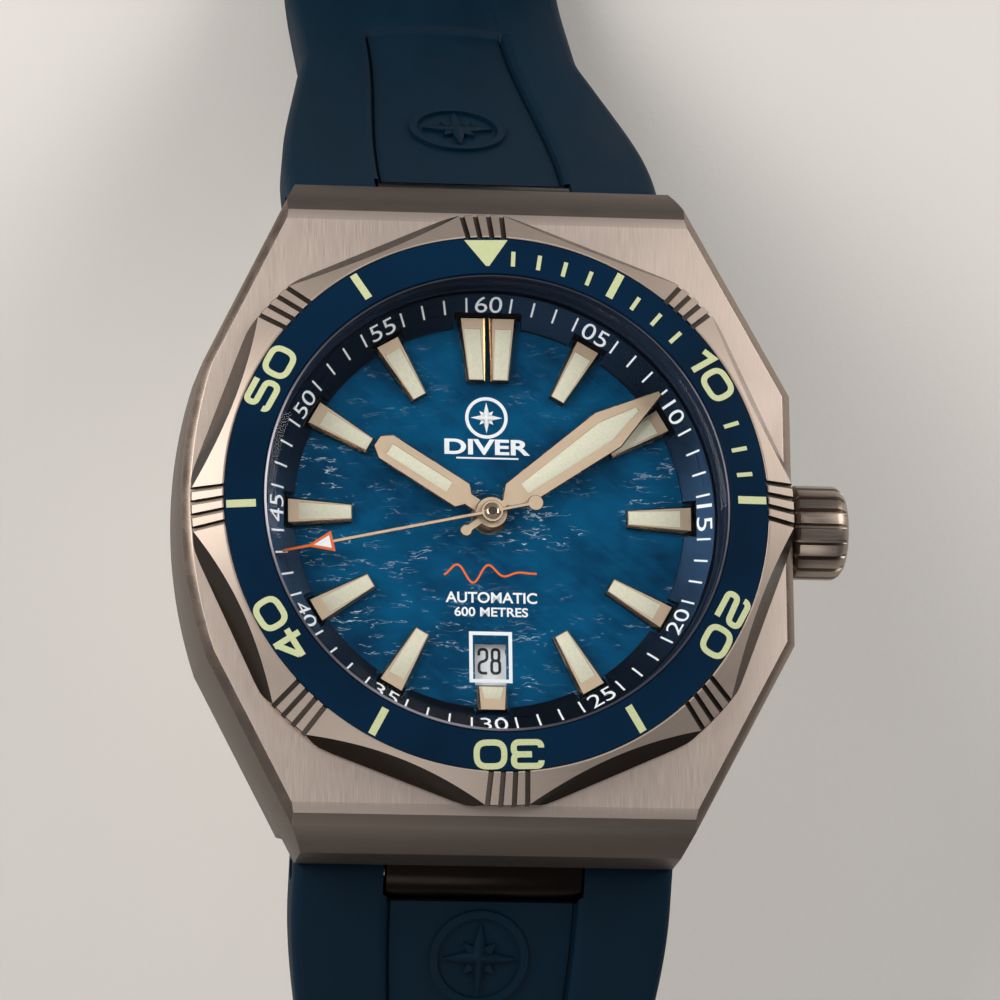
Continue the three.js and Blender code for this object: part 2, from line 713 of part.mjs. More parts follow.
// A bridge is a sector of the movement, cut away round the rotor's post.
function bridge(startDeg, endDeg, innerR) {
  const shape = new THREE.Shape();
  shape.absarc(0, 0, BRIDGE.radius, rad(startDeg), rad(endDeg), false);
  shape.absarc(0, 0, innerR, rad(endDeg), rad(startDeg), true);
  return prism(shape, BRIDGE.underZ, BRIDGE.topZ);
}
add("barrel_bridge", bridge(64, 192, BRIDGE.postRoomR), STEEL);
add("balance_cock", bridge(196, 262, BRIDGE.postRoomR), STEEL);
const post = rod(BRIDGE.postR, BRIDGE.underZ, BRIDGE.topZ);
add("train_bridge", join(bridge(-94, 60, BRIDGE.postR - 0.5), post), STEEL);

const arbor = (highZ = ARBOR.highZ) => rod(ARBOR.radius, ARBOR.lowZ, highZ, 8);

const barrel = cut(gear(BARREL.radius, BARREL.teeth, ...LAYER.barrel), rod(BARREL.boreR, 3, 6));
add("mainspring_barrel", barrel.translate(BARREL.x, BARREL.y, 0), BRASS);
const ratchet = gear(BARREL.ratchetR, BARREL.ratchetTeeth, ...LAYER.ratchet);
add("ratchet_wheel", ratchet.translate(BARREL.x, BARREL.y, 0), STEEL);
add(
  "third_wheel",
  join(
    gear(THIRD.radius, THIRD.teeth, ...LAYER.third),
    gear(THIRD.pinionR, 8, ...LAYER.thirdPinion, 0.12),
    arbor(),
  ).translate(THIRD.x, THIRD.y, 0),
  BRASS,
);
add(
  "fourth_wheel",
  join(
    gear(FOURTH.radius, FOURTH.teeth, ...LAYER.fourth),
    gear(FOURTH.pinionR, 6, ...LAYER.fourthPinion, 0.12),
    rod(FOURTH.arborR, ARBOR.lowZ, FOURTH.topZ, 12),
  ),
  BRASS,
);
add(
  "escape_wheel",
  join(
    gear(ESCAPE.radius, ESCAPE.teeth, ...LAYER.escape, ESCAPE.toothDepth),
    gear(ESCAPE.pinionR, 5, ...LAYER.escapePinion, 0.1),
    arbor(),
  ).translate(ESCAPE.x, ESCAPE.y, 0),
  SPRING_STEEL,
);

function palletFork() {
  const toBalance = Math.atan2(BALANCE.y - PALLET.y, BALANCE.x - PALLET.x);
  const lever = box(-PALLET.tail, PALLET.lever, -0.18, 0.18, ...LAYER.palletFork);
  const anchor = box(-0.35, 0.1, -PALLET.anchorHalf, PALLET.anchorHalf, ...LAYER.palletFork);
  return join(lever, anchor, arbor(PALLET.topZ)).rotateZ(toBalance).translate(PALLET.x, PALLET.y, 0);
}
add("pallet_fork", palletFork(), SPRING_STEEL);

function balanceWheel() {
  const rim = ring(BALANCE.radius - BALANCE.rim, BALANCE.radius, ...LAYER.balanceRim, 30);
  const reach = BALANCE.radius - 0.2;
  const spoke = box(-reach, reach, -0.2, 0.2, ...LAYER.balanceSpoke);
  return join(rim, spoke, arbor()).translate(BALANCE.x, BALANCE.y, 0);
}
add("balance_wheel", balanceWheel(), BRASS);

function hairspring() {
  const steps = 36;
  const edge = (offset) =>
    Array.from({ length: steps + 1 }, (_, i) => {
      const turns = (HAIRSPRING.turns * i) / steps;
      const angle = 2 * Math.PI * turns;
      const radius = HAIRSPRING.innerR + HAIRSPRING.pitch * turns + offset;
      return [radius * Math.cos(angle), radius * Math.sin(angle)];
    });
  return prism([...edge(0), ...edge(0.1).reverse()], ...LAYER.hairspring).translate(BALANCE.x, BALANCE.y, 0);
}
add("hairspring", hairspring(), SPRING_STEEL);

// Half a disc on a hub, with a thicker weight along its rim.
function rotor() {
  const { radius, weightR, hubR, boreR } = ROTOR;
  const disc = new THREE.Shape();
  disc.absarc(0, 0, radius, Math.PI, 2 * Math.PI, false);
  disc.lineTo(hubR, 0);
  disc.absarc(0, 0, hubR, 0, Math.PI, false);
  disc.lineTo(-radius, 0);
  const weight = new THREE.Shape();
  weight.absarc(0, 0, radius, Math.PI, 2 * Math.PI, false);
  weight.absarc(0, 0, weightR, 2 * Math.PI, Math.PI, true);
  return cut(join(prism(disc, ...LAYER.rotorPlate), prism(weight, ...LAYER.rotorWeight)), rod(boreR, 1, 3));
}
add("rotor", rotor(), STEEL);
add("rotor_bearing", rod(ROTOR.bearingR, ROTOR.bearingZ, BRIDGE.underZ - SEAT_GAP), STEEL);

// ---- crown and stem --------------------------------------------------------------------------

function crown() {
  const { innerX, outerX, radius, innerEdge, outerEdge, flutes, land, groove, fluteDepth } = CROWN;
  const grooveR = radius - fluteDepth;
  const points = [];
  for (let i = 0; i < flutes; i++)
    for (const [share, r] of [[0, radius], [land, radius], [groove[0], grooveR], [groove[1], grooveR]]) {
      const angle = (2 * Math.PI * (i + share)) / flutes;
      points.push([r * Math.cos(angle), r * Math.sin(angle)]);
    }
  const fluted = prism(points, innerX, outerX);
  const turned = revolve(
    [
      [0, innerX],
      [radius - innerEdge, innerX],
      [radius + 0.01, innerX + innerEdge],
      [radius + 0.01, outerX - outerEdge],
      [radius - outerEdge, outerX],
      [0, outerX],
    ],
    36,
  );
  const socket = rod(CROWN.socketR, innerX - 1, CROWN.socketX);
  const stemHole = rod(CROWN.stemHoleR, CROWN.socketX - 1, CROWN.socketX + CROWN.stemHoleDepth);
  return alongX(cut(clip(fluted, turned), socket, stemHole), 0, STEM_Z);
}
add("crown", crown(), DARK_STEEL);
add("crown_gasket", alongX(ring(...CROWN_GASKET, SMALL_ROUND), 0, STEM_Z), SEAL);
add("winding_stem", alongX(rod(STEM.radius, STEM.innerX, CROWN.socketX + 0.6, 12), 0, STEM_Z), STEEL);
const { radius: pinionR, teeth: pinionTeeth, from, to, boreR } = SLIDING_PINION;
const slidingPinion = cut(gear(pinionR, pinionTeeth, from, to, 0.16), rod(boreR, 4, 9));
add("sliding_pinion", alongX(slidingPinion, 0, STEM_Z), SPRING_STEEL);

// ---- strap -----------------------------------------------------------------------------------

// The middle line of a strap half: where it is after a distance s, and how far its heading points down.
function strapPath({ slopeDeg, bendR, drop, length }) {
  const slope = rad(slopeDeg);
  const straight = (drop - bendR * (1 - Math.cos(slope))) / Math.sin(slope);
  const bend = slope * bendR;
  const centreY = LUG.axisY + straight * Math.cos(slope) + bendR * Math.sin(slope);
  const centreZ = LUG.axisZ - drop + bendR;
  const at = (s) => {
    if (s <= straight)
      return { y: LUG.axisY + s * Math.cos(slope), z: LUG.axisZ - s * Math.sin(slope), turn: slope };
    if (s <= straight + bend) {
      const turn = slope - (s - straight) / bendR;
      return { y: centreY - bendR * Math.sin(turn), z: centreZ - bendR * Math.cos(turn), turn };
    }
    return { y: centreY + s - straight - bend, z: LUG.axisZ - drop, turn: 0 };
  };
  return at;
}

const smooth = (t) => THREE.MathUtils.smoothstep(t, 0, 1);
const between = (s, from, to) => THREE.MathUtils.clamp((s - from) / (to - from), 0, 1);

function halfWidthAt(s, length) {
  const waist = THREE.MathUtils.lerp(
    STRAP.earHalfWidth,
    STRAP.bodyHalfWidth,
    smooth(between(s, STRAP.taperStart, STRAP.taperEnd)),
  );
  return waist - (STRAP.bodyHalfWidth - STRAP.endHalfWidth) * between(s, STRAP.taperEnd, length);
}

function thicknessAt(s) {
  return THREE.MathUtils.lerp(
    STRAP.caseThickness,
    STRAP.endThickness,
    between(s, STRAP.thinStart, STRAP.thinEnd),
  );
}

// A piece built about the origin (x across, y along the strap, z out of it), set on the strap at s.
function onStrap(geometry, half, s) {
  const { y, z, turn } = strapPath(half)(s);
  geometry.rotateX(-turn).translate(0, y, z);
  return half.side > 0 ? geometry : geometry.scale(-1, -1, 1);
}

function strapBody(half, tipLength) {
  const at = strapPath(half);
  const section = (s, halfWidth, halfThickness) => {
    const { y, z, turn } = at(s);
    const [outY, outZ] = [Math.sin(turn) * halfThickness, Math.cos(turn) * halfThickness];
    return [
      [-halfWidth, half.side * (y + outY), z + outZ],
      [halfWidth, half.side * (y + outY), z + outZ],
      [halfWidth, half.side * (y - outY), z - outZ],
      [-halfWidth, half.side * (y - outY), z - outZ],
    ];
  };
  const sections = [];
  for (const deg of [-82, -60, -35, -12]) {
    const s = STRAP.earR * Math.sin(rad(deg));
    sections.push(section(s, STRAP.earHalfWidth, STRAP.earR * Math.cos(rad(deg))));
  }
  const bodyEnd = half.length - tipLength;
  const steps = 30;
  for (let i = 0; i <= steps; i++) {
    const s = 0.6 + ((bodyEnd - 0.6) * i) / steps;
    sections.push(section(s, halfWidthAt(s, half.length), thicknessAt(s) / 2));
  }
  const tipSteps = tipLength ? 3 : 0;
  for (let i = 1; i <= tipSteps; i++) {
    const t = i / tipSteps;
    const width = STRAP.endHalfWidth * Math.sqrt(1 - 0.9 * t * t);
    sections.push(section(bodyEnd + tipLength * t, width, STRAP.endThickness / 2));
  }
  return loft(sections);
}

// The opening between the ears, round the case's lug, and the hole for the lug bar.
function earCuts(half) {
  const y = half.side * LUG.axisY;
  return [
    alongX(rod(STRAP.notchR, -STRAP.notchHalf, STRAP.notchHalf, 28), y, LUG.axisZ),
    alongX(rod(LUG.barR + RUNNING_GAP, -20, 20, 28), y, LUG.axisZ),
  ];
}

const pinAt = UPPER.length - BUCKLE.pinFromEnd;
const tongueSlot = box(-BUCKLE.slotHalf, BUCKLE.slotHalf, -BUCKLE.slotDepth, 4, -4, 4);
add(
  "strap_upper",
  cut(
    strapBody(UPPER, 0),
    ...earCuts(UPPER),
    onStrap(tongueSlot, UPPER, pinAt),
    onStrap(alongX(rod(BUCKLE.pinR + RUNNING_GAP, -20, 20)), UPPER, pinAt),
  ),
  RUBBER,
);

const holeCuts = Array.from({ length: HOLES.count }, (_, i) =>
  onStrap(rod(HOLES.radius, -4, 4, 10), LOWER, LOWER.length - HOLES.first - HOLES.pitch * i),
);
add("strap_lower", cut(strapBody(LOWER, TIP), ...earCuts(LOWER), ...holeCuts), RUBBER);

// ---- buckle and keepers ----------------------------------------------------------------------

const frameSide = BUCKLE.innerHalf + BUCKLE.armWidth;

function buckleFrame() {
  const { innerHalf, thickness, reach, barWidth, armBack } = BUCKLE;
  const half = thickness / 2;
  const seatHalf = TONGUE.width / 2 + TONGUE.overhang;
  const frame = cut(
    box(-frameSide, frameSide, -armBack, reach, -half, half),
    box(-innerHalf, innerHalf, -3, reach - barWidth, -3, 3),
    box(-seatHalf, seatHalf, reach - 3, reach + 1, TONGUE.seatZ, 3),
    alongX(rod(BUCKLE.pinR + RUNNING_GAP, -20, 20)),
  );
  return onStrap(frame, UPPER, pinAt);
}
add("buckle_frame", buckleFrame(), STEEL);

// The tongue turns on the pin and lies in the bar's seat, on the outer side of the strap.
function buckleTongue() {
  const { width, eyeR, underZ, topZ, overhang } = TONGUE;
  const eye = alongX(rod(eyeR, -width / 2, width / 2));
  const blade = box(-width / 2, width / 2, 0, BUCKLE.reach + overhang, underZ, topZ);
  const whole = cut(join(eye, blade), alongX(rod(BUCKLE.pinR + RUNNING_GAP, -20, 20)));
  return onStrap(whole, UPPER, pinAt);
}
add("buckle_tongue", buckleTongue(), STEEL);
add("buckle_pin", onStrap(alongX(rod(BUCKLE.pinR, -frameSide, frameSide)), UPPER, pinAt), DARK_STEEL);

// A band round the short half, with room outside the strap for the long half's tail.
function keeper(s) {
  const { wall, width, play, room } = KEEPER;
  const innerX = halfWidthAt(s, UPPER.length) + play;
  const [low, high] = [-thicknessAt(s) / 2 - play, thicknessAt(s) / 2 + room];
  const band = cut(
    box(-innerX - wall, innerX + wall, -width / 2, width / 2, low - wall, high + wall),
    box(-innerX, innerX, -width, width, low, high),
  );
  return onStrap(band, UPPER, s);
}
add("fixed_keeper", keeper(KEEPER.fixedAt), RUBBER);
add("free_keeper", keeper(KEEPER.freeAt), RUBBER);

export default watch;
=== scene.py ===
"""The looks of the dive watch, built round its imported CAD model. Lengths are in mm until a mesh is made."""

import json
import math
from types import SimpleNamespace as Sizes

import bmesh
import bpy
from mathutils import Matrix, Vector


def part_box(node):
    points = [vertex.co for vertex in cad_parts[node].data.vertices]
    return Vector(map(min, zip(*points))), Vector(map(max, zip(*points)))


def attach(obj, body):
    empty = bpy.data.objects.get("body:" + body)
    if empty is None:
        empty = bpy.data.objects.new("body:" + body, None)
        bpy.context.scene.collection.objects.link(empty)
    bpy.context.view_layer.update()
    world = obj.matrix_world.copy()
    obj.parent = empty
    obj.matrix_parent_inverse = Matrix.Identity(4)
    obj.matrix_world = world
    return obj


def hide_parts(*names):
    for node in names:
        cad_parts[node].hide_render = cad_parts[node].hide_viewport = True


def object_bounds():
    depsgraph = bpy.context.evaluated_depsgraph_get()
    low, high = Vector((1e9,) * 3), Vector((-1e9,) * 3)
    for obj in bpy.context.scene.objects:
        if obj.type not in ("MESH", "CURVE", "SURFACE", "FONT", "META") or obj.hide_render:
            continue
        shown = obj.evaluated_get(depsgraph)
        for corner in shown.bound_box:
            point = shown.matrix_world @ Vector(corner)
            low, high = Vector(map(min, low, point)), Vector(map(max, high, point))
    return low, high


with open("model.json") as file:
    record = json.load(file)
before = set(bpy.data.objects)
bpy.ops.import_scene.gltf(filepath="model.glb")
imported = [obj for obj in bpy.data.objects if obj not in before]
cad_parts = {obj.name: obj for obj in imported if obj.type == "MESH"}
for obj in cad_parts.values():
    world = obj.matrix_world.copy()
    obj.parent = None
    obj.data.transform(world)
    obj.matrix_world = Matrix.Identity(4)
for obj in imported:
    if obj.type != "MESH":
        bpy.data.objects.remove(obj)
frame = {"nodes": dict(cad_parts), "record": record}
CAD_BOX = [list(corner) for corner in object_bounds()]

MM = 0.001
NODES = frame["nodes"]
RECORD = frame["record"]
BODY_OF = {n: body for body, names in RECORD["behaviour"]["bodies"].items() for n in names}
SLOT_OF = {part["node"]: part["material_slot"] for part in RECORD["subparts"]}


def box_mm(node):
    low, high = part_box(node)
    return low / MM, high / MM


# ---- sizes shared by several pieces, in mm ----

BEZEL_REST_DEG = 1.7
BEZEL_SIDES = 8
FINE = 256  # facets of the large turned pieces
DIAL_TOP = box_mm("dial")[1].z
INSERT_INNER_R = 16.8
INSERT_OUTER_R = 19.56
INSERT_EDGE_Z = 12.9
INSERT_INNER_Z = box_mm("bezel_insert")[1].z
RING_INNER_R = 14.1
RING_OUTER_R = 16.1
RING_INNER_Z = 8.95
RING_OUTER_Z = box_mm("chapter_ring")[1].z
HAND_DEGS = {"hour": 302.5, "minute": 53.5, "second": 257.8}


# ---- colour and node helpers ----


def srgb(red, green, blue):
    """An 8-bit colour as the linear colour that shaders take."""

    def linear(value):
        value /= 255
        return value / 12.92 if value <= 0.04045 else ((value + 0.055) / 1.055) ** 2.4

    return (linear(red), linear(green), linear(blue), 1.0)


def scaled(colour, factor, lift=0.0):
    """An opaque colour, made darker or lighter."""
    return tuple(min(1, c * factor + lift) for c in colour[:3]) + (1,)


class Graph:
    """A material's node tree, written as short calls."""

    def __init__(self, name):
        self.material = bpy.data.materials.new(name)
        self.material.use_nodes = True
        self.tree = self.material.node_tree
        self.shader = self.tree.nodes["Principled BSDF"]

    def add(self, kind, **values):
        node = self.tree.nodes.new(kind)
        for key, value in values.items():
            setattr(node, key, value)
        return node

    def feed(self, socket, value):
        if isinstance(value, bpy.types.NodeSocket):
            self.tree.links.new(value, socket)
        elif value is not None:
            socket.default_value = value

    def set(self, **values):
        for key, value in values.items():
            self.feed(self.shader.inputs[key.replace("_", " ")], value)

    def math(self, operation, a, b=None, clamp=False):
        node = self.add("ShaderNodeMath", operation=operation, use_clamp=clamp)
        self.feed(node.inputs[0], a)
        self.feed(node.inputs[1], b)
        return node.outputs[0]

    def stretched(self, scale):
        """Object coordinates in mm, scaled along each axis."""
        node = self.add("ShaderNodeVectorMath", operation="MULTIPLY")
        self.feed(node.inputs[0], self.add("ShaderNodeTexCoord").outputs["Object"])
        node.inputs[1].default_value = [s / MM for s in scale]
        return node.outputs[0]

    def noise(self, vector, detail=3.0, rough=0.55):
        node = self.add("ShaderNodeTexNoise")
        self.feed(node.inputs["Vector"], vector)
        node.inputs["Scale"].default_value = 1.0
        node.inputs["Detail"].default_value = detail
        node.inputs["Roughness"].default_value = rough
        return node.outputs["Fac"]

    def grain(self, scale, detail=3.0, rough=0.55):
        """Noise in the object's space. scale is its fineness per mm: one number, or one for each axis."""
        return self.noise(self.stretched(scale if isinstance(scale, tuple) else (scale,) * 3), detail, rough)

    def remap(self, value, low, high, from_low=0.3, from_high=0.7):
        node = self.add("ShaderNodeMapRange")
        self.feed(node.inputs["Value"], value)
        limits = {"From Min": from_low, "From Max": from_high, "To Min": low, "To Max": high}
        for key, number in limits.items():
            node.inputs[key].default_value = number
        return node.outputs["Result"]

    def mix(self, factor, a, b):
        node = self.add("ShaderNodeMix", data_type="RGBA")
        self.feed(node.inputs[0], factor)
        self.feed(node.inputs[6], a)
        self.feed(node.inputs[7], b)
        return node.outputs[2]

    def blend(self, first, second, factor):
        """The number first where factor is 0 and second where it is 1."""
        rest = self.math("SUBTRACT", 1.0, factor)
        return self.math("ADD", self.math("MULTIPLY", first, rest), self.math("MULTIPLY", second, factor))

    def bump(self, height, depth_mm):
        node = self.add("ShaderNodeBump")
        node.inputs["Strength"].default_value = 1.0
        node.inputs["Distance"].default_value = depth_mm * MM
        self.feed(node.inputs["Height"], height)
        return node.outputs["Normal"]

    def split(self, vector):
        """The three numbers of a vector."""
        node = self.add("ShaderNodeSeparateXYZ")
        self.feed(node.inputs[0], vector)
        return node.outputs

    def join(self, values):
        """A vector from three numbers."""
        node = self.add("ShaderNodeCombineXYZ")
        for socket, value in zip(node.inputs, values):
            self.feed(socket, value)
        return node.outputs[0]

    def normal_part(self, axis):
        normal = self.add("ShaderNodeNewGeometry").outputs["True Normal"]
        return self.math("ABSOLUTE", self.split(normal)[axis])

    def polar(self, radial, around, height):
        """Coordinates that follow a circle about Z: radius, angle and height, scaled per mm."""
        x, y, z = self.split(self.stretched((1, 1, 1)))
        radius = self.math("SQRT", self.math("ADD", self.math("MULTIPLY", x, x), self.math("MULTIPLY", y, y)))
        angle = self.math("ARCTAN2", y, x)
        scales = ((radius, radial), (angle, around), (z, height))
        return self.join([self.math("MULTIPLY", value, scale) for value, scale in scales])


# ---- materials ----


def brushed(name, colour, streaks, rough=(0.26, 0.42), aniso=0.5, tangent=None, tone=0.16, depth=0.004):
    """Metal with fine parallel scratches. streaks gives the noise's scale, small along the brushing."""
    g = Graph(name)
    grain = g.noise(streaks(g) if callable(streaks) else g.stretched(streaks), detail=4)
    worn = g.remap(g.blend(grain, g.grain(0.12, detail=2), 0.25), 0.0, 1.0)
    tint = g.mix(worn, scaled(colour, 1 - tone), scaled(colour, 1 + tone))
    g.set(Base_Color=tint, Metallic=1.0, Roughness=g.remap(grain, *rough))
    g.set(Normal=g.bump(grain, depth), Anisotropic=aniso)
    if tangent == "round":
        g.set(Tangent=g.add("ShaderNodeTangent", direction_type="RADIAL", axis="Z").outputs[0])
    elif tangent:
        g.set(Tangent=g.join(tangent))
    return g.material


def polished(name, colour, rough=0.12, tone=0.08):
    """Mirror-like metal under a faint haze."""
    g = Graph(name)
    haze = g.grain(0.6)
    tint = g.mix(haze, scaled(colour, 1 - tone), colour)
    g.set(Base_Color=tint, Metallic=1.0, Roughness=g.remap(haze, rough * 0.85, rough * 1.2))
    g.set(Normal=g.bump(g.grain(9, detail=2), 0.0012))
    return g.material


def case_steel():
    """Brushed along the watch on its top, across on the end slopes, and satin on the flanks. Every face but
    the top is darkened as painted shade.
    """
    g = Graph("case_brushed_steel")
    along = g.grain((30, 0.5, 1))
    across = g.grain((0.5, 26, 26))
    upright = g.grain((0.4, 0.4, 16), detail=5)
    top = g.remap(g.normal_part(2), 0, 1, 0.93, 0.97)
    flank = g.remap(g.normal_part(0), 0, 1, 0.5, 0.6)
    grain = g.blend(g.blend(across, upright, flank), along, top)
    cloud = g.remap(g.grain(0.1, detail=2), 0, 0.3)
    tint = g.mix(g.remap(grain, 0, 1), srgb(184, 170, 160), srgb(208, 194, 184))
    tint = g.mix(cloud, tint, srgb(186, 171, 161))
    # painted shade: the flanks and end slopes are mixed most of the way towards a dark brown
    tint = g.mix(g.math("SUBTRACT", 1.0, top), tint, g.mix(0.85, tint, srgb(78, 70, 63)))
    g.set(Base_Color=tint, Metallic=1.0, Roughness=g.remap(grain, 0.46, 0.58), Normal=g.bump(grain, 0.002))
    return g.material


def lume(name, colour):
    """Gritty luminous filling."""
    g = Graph(name)
    grit = g.grain(6, detail=4)
    tint = g.mix(g.remap(grit, 0, 1), scaled(colour, 0.86), colour)
    g.set(Base_Color=tint, Roughness=0.55, Normal=g.bump(grit, 0.01))
    g.set(Emission_Color=colour, Emission_Strength=0.06)
    return g.material


def printed(name, colour, rough=0.45, glow=0.0):
    """Printing ink or paint, slightly uneven. glow is painted light: an emission that keeps it bright where it
    lies in shade.
    """
    g = Graph(name)
    g.set(Base_Color=g.mix(g.grain(12, detail=2), scaled(colour, 0.9), colour), Roughness=rough)
    g.set(Emission_Color=colour, Emission_Strength=glow)
    return g.material


def ceramic():
    """Deep blue glaze with drifting depth."""
    g = Graph("ceramic_blue")
    tint = g.mix(g.remap(g.grain(0.09, detail=2), 0, 1), srgb(0, 24, 44), srgb(0, 34, 60))
    g.set(Base_Color=tint, Roughness=g.remap(g.grain(20, detail=2), 0.06, 0.12), Specular_IOR_Level=0.22)
    return g.material


def dial_lacquer():
    """Blue lacquer: drifting patches, straight flaws, and clusters of thin wave-like glints painted in as
    highlights.
    """
    g = Graph("dial_lacquer")
    x, y, _ = g.split(g.stretched((1, 1, 1)))

    turn = g.add("ShaderNodeVectorRotate", rotation_type="Z_AXIS")
    g.feed(turn.inputs["Vector"], g.stretched((1, 1, 1)))
    turn.inputs["Angle"].default_value = math.radians(38)
    sweep = g.add("ShaderNodeVectorMath", operation="MULTIPLY")
    g.feed(sweep.inputs[0], turn.outputs[0])
    sweep.inputs[1].default_value = (0.16, 1.9, 1)
    flaw = g.noise(sweep.outputs[0])

    warp = g.add("ShaderNodeVectorMath", operation="ADD")
    g.feed(warp.inputs[0], g.stretched((0.42, 2.7, 1)))
    g.feed(warp.inputs[1], g.join((0.0, g.math("MULTIPLY", g.grain((0.7, 0.7, 1), detail=2), 2.0), 0.0)))
    ripple = g.noise(warp.outputs[0], rough=0.5)

    # painted highlights: thin white glints drawn into the colour, fewer above the middle and more to the lower
    # left
    line = g.remap(g.math("ABSOLUTE", g.math("SUBTRACT", ripple, 0.5)), 1, 0, 0.004, 0.014)
    broken = g.remap(g.grain((0.6, 1.7, 1), detail=1), 0, 1, 0.5, 0.56)
    cluster = g.remap(g.grain((0.16, 0.2, 1), detail=1), 0, 1, 0.5, 0.62)
    fewer_above = g.remap(y, 1, 0.16, 0, 7)
    lower_left = g.remap(g.math("ADD", x, y), 0.5, 0, -14, -2)
    where = g.math("ADD", g.math("MULTIPLY", cluster, fewer_above), lower_left, clamp=True)
    painted_glint = g.math("MULTIPLY", g.math("MULTIPLY", line, broken), where, clamp=True)

    patch = g.grain((0.2, 0.27, 0.3), detail=4, rough=0.6)
    deep = g.mix(g.remap(patch, 0, 1), srgb(0, 44, 76), srgb(0, 86, 128))
    deep = g.mix(g.remap(flaw, 0, 0.2, 0.4, 0.65), deep, srgb(4, 98, 140))
    g.set(Base_Color=g.mix(painted_glint, deep, srgb(206, 232, 244)), Metallic=0.1, Specular_IOR_Level=0.04)
    g.set(Roughness=g.remap(flaw, 0.45, 0.34), Normal=g.bump(ripple, 0.03))
    return g.material


def rubber(name, colour, dusty=0.12):
    """Matt moulded rubber with a fine grain, handling marks and a little dust."""
    g = Graph(name)
    smear = g.grain((0.18, 0.07, 0.07), detail=4)
    dust = g.remap(g.grain(2.2, detail=5, rough=0.7), 0, dusty, 0.62, 0.8)
    tint = g.mix(g.remap(smear, 0, 1), colour, scaled(colour, 1.3))
    g.set(Base_Color=g.mix(dust, tint, scaled(colour, 2.2, 0.01)), Specular_IOR_Level=0.12)
    g.set(Roughness=g.remap(smear, 0.55, 0.7), Normal=g.bump(g.grain(7, detail=4, rough=0.6), 0.01))
    return g.material


def sapphire():
    """Clear crystal. Light reaches the dial straight through it, so that the dial isn't left in its shadow."""
    g = Graph("sapphire")
    g.set(Base_Color=(1, 1, 1, 1), Transmission_Weight=1.0, IOR=1.03)
    g.set(Coat_Weight=0.17, Coat_Roughness=0.0, Roughness=g.remap(g.grain(0.5), 0.0, 0.004))
    path = g.add("ShaderNodeLightPath")
    clear = g.add("ShaderNodeBsdfTransparent")
    clear.inputs[0].default_value = (0.93, 0.95, 0.96, 1)
    both = g.add("ShaderNodeMixShader")
    g.feed(both.inputs[0], g.math("MAXIMUM", path.outputs["Is Shadow Ray"], path.outputs["Is Diffuse Ray"]))
    g.feed(both.inputs[1], g.shader.outputs[0])
    g.feed(both.inputs[2], clear.outputs[0])
    g.feed(g.tree.nodes["Material Output"].inputs["Surface"], both.outputs[0])
    return g.material


def round_streaks(radial, around, height):
    """Streaks that run round the watch's axis."""
    return lambda g: g.polar(radial, around, height)


STEEL_TINT = srgb(200, 184, 172)
ACROSS = (1, 0, 0)

CASE_STEEL = case_steel()
# painted shade: the polished chamfers' steel is tinted darker than the case steel
CASE_POLISH_SHADED = polished("case_polish_shaded", srgb(146, 132, 121), 0.26)
BEZEL_BRUSHED = brushed(
    "bezel_brushed", srgb(190, 175, 163), round_streaks(24, 5, 24),
    rough=(0.42, 0.54), aniso=0.2, tangent="round", tone=0.1, depth=0.002,
)
# painted shade: the facets' steel is tinted nearly black, for the dark surroundings they reflect
BEZEL_FACET_SHADE = polished("bezel_facet_shade", srgb(50, 44, 39), 0.24)
# painted shade: a darker steel for the faces inside the grooves
BEZEL_GROOVE_SHADE = polished("bezel_groove_shade", srgb(92, 83, 76), 0.3)
# painted shadow: nearly black steel for the lugs, which lie in the hood's shadow between the strap's ears
LUG_SHADOW_STEEL = polished("lug_shadow_steel", srgb(34, 29, 26), 0.3)
# painted shade: the crown's steel is tinted darker than the case steel
CROWN_STEEL_SHADED = brushed("crown_steel_shaded", srgb(152, 139, 128), (0.4, 20, 20), tangent=ACROSS)
BACK_STEEL = brushed("case_back_steel", STEEL_TINT, round_streaks(16, 2, 4), tangent="round")
BUCKLE_STEEL = brushed("buckle_steel", STEEL_TINT, (0.4, 14, 6), tangent=ACROSS)
PIN_STEEL = polished("pin_steel", srgb(140, 131, 122), 0.2)
CHAMPAGNE = brushed(
    "champagne_steel", srgb(188, 169, 146), (40, 7, 40), rough=(0.42, 0.52), aniso=0.0, tone=0.07, depth=0.001,
)
CHAMPAGNE_POLISH = polished("champagne_polish", srgb(214, 188, 158), 0.16)
# painted shade: a darker champagne for the sides and bevels of the markers and hands
CHAMPAGNE_EDGE_SHADE = polished("champagne_edge_shade", srgb(132, 106, 84), 0.25)
LUME_HAND = lume("lume_ivory", srgb(220, 216, 192))
LUME_BEZEL = lume("lume_green", srgb(190, 198, 150))
# painted light: the white print glows a little so that it stays bright where it lies in shade
WHITE_PRINT = printed("white_print", srgb(236, 240, 242), glow=0.12)
BLACK_PRINT = printed("black_print", srgb(18, 19, 22))
ORANGE = printed("orange_paint", srgb(238, 112, 44), 0.35)
CERAMIC = ceramic()
DIAL_BLUE = dial_lacquer()
RUBBER = rubber("strap_rubber", srgb(0, 25, 40))
SAPPHIRE = sapphire()
# painted highlight: an opaque polished band stands in for the glint along the crystal's edge
CRYSTAL_EDGE_GLINT = polished("crystal_edge_glint", srgb(132, 130, 138), 0.34)
SEAL = rubber("seal_rubber", srgb(20, 20, 22))
BRASS = brushed("brass", srgb(200, 162, 92), round_streaks(10, 2, 4))
MOVEMENT = brushed("movement_plate", srgb(190, 190, 188), (8, 0.5, 8))
BLUED = polished("spring_steel", srgb(84, 98, 140), 0.2)
NYLON = rubber("nylon", srgb(206, 206, 200))
CRYSTAL_SEAL = rubber("crystal_seal", srgb(16, 30, 48))
# painted light: the date disc glows a little to look brighter
DATE_WHITE = printed("date_white", srgb(236, 238, 240), 0.5, glow=0.1)
CHAPTER_BLUE = brushed("chapter_satin", srgb(16, 30, 46), round_streaks(6, 3, 6), aniso=0, depth=0.002)

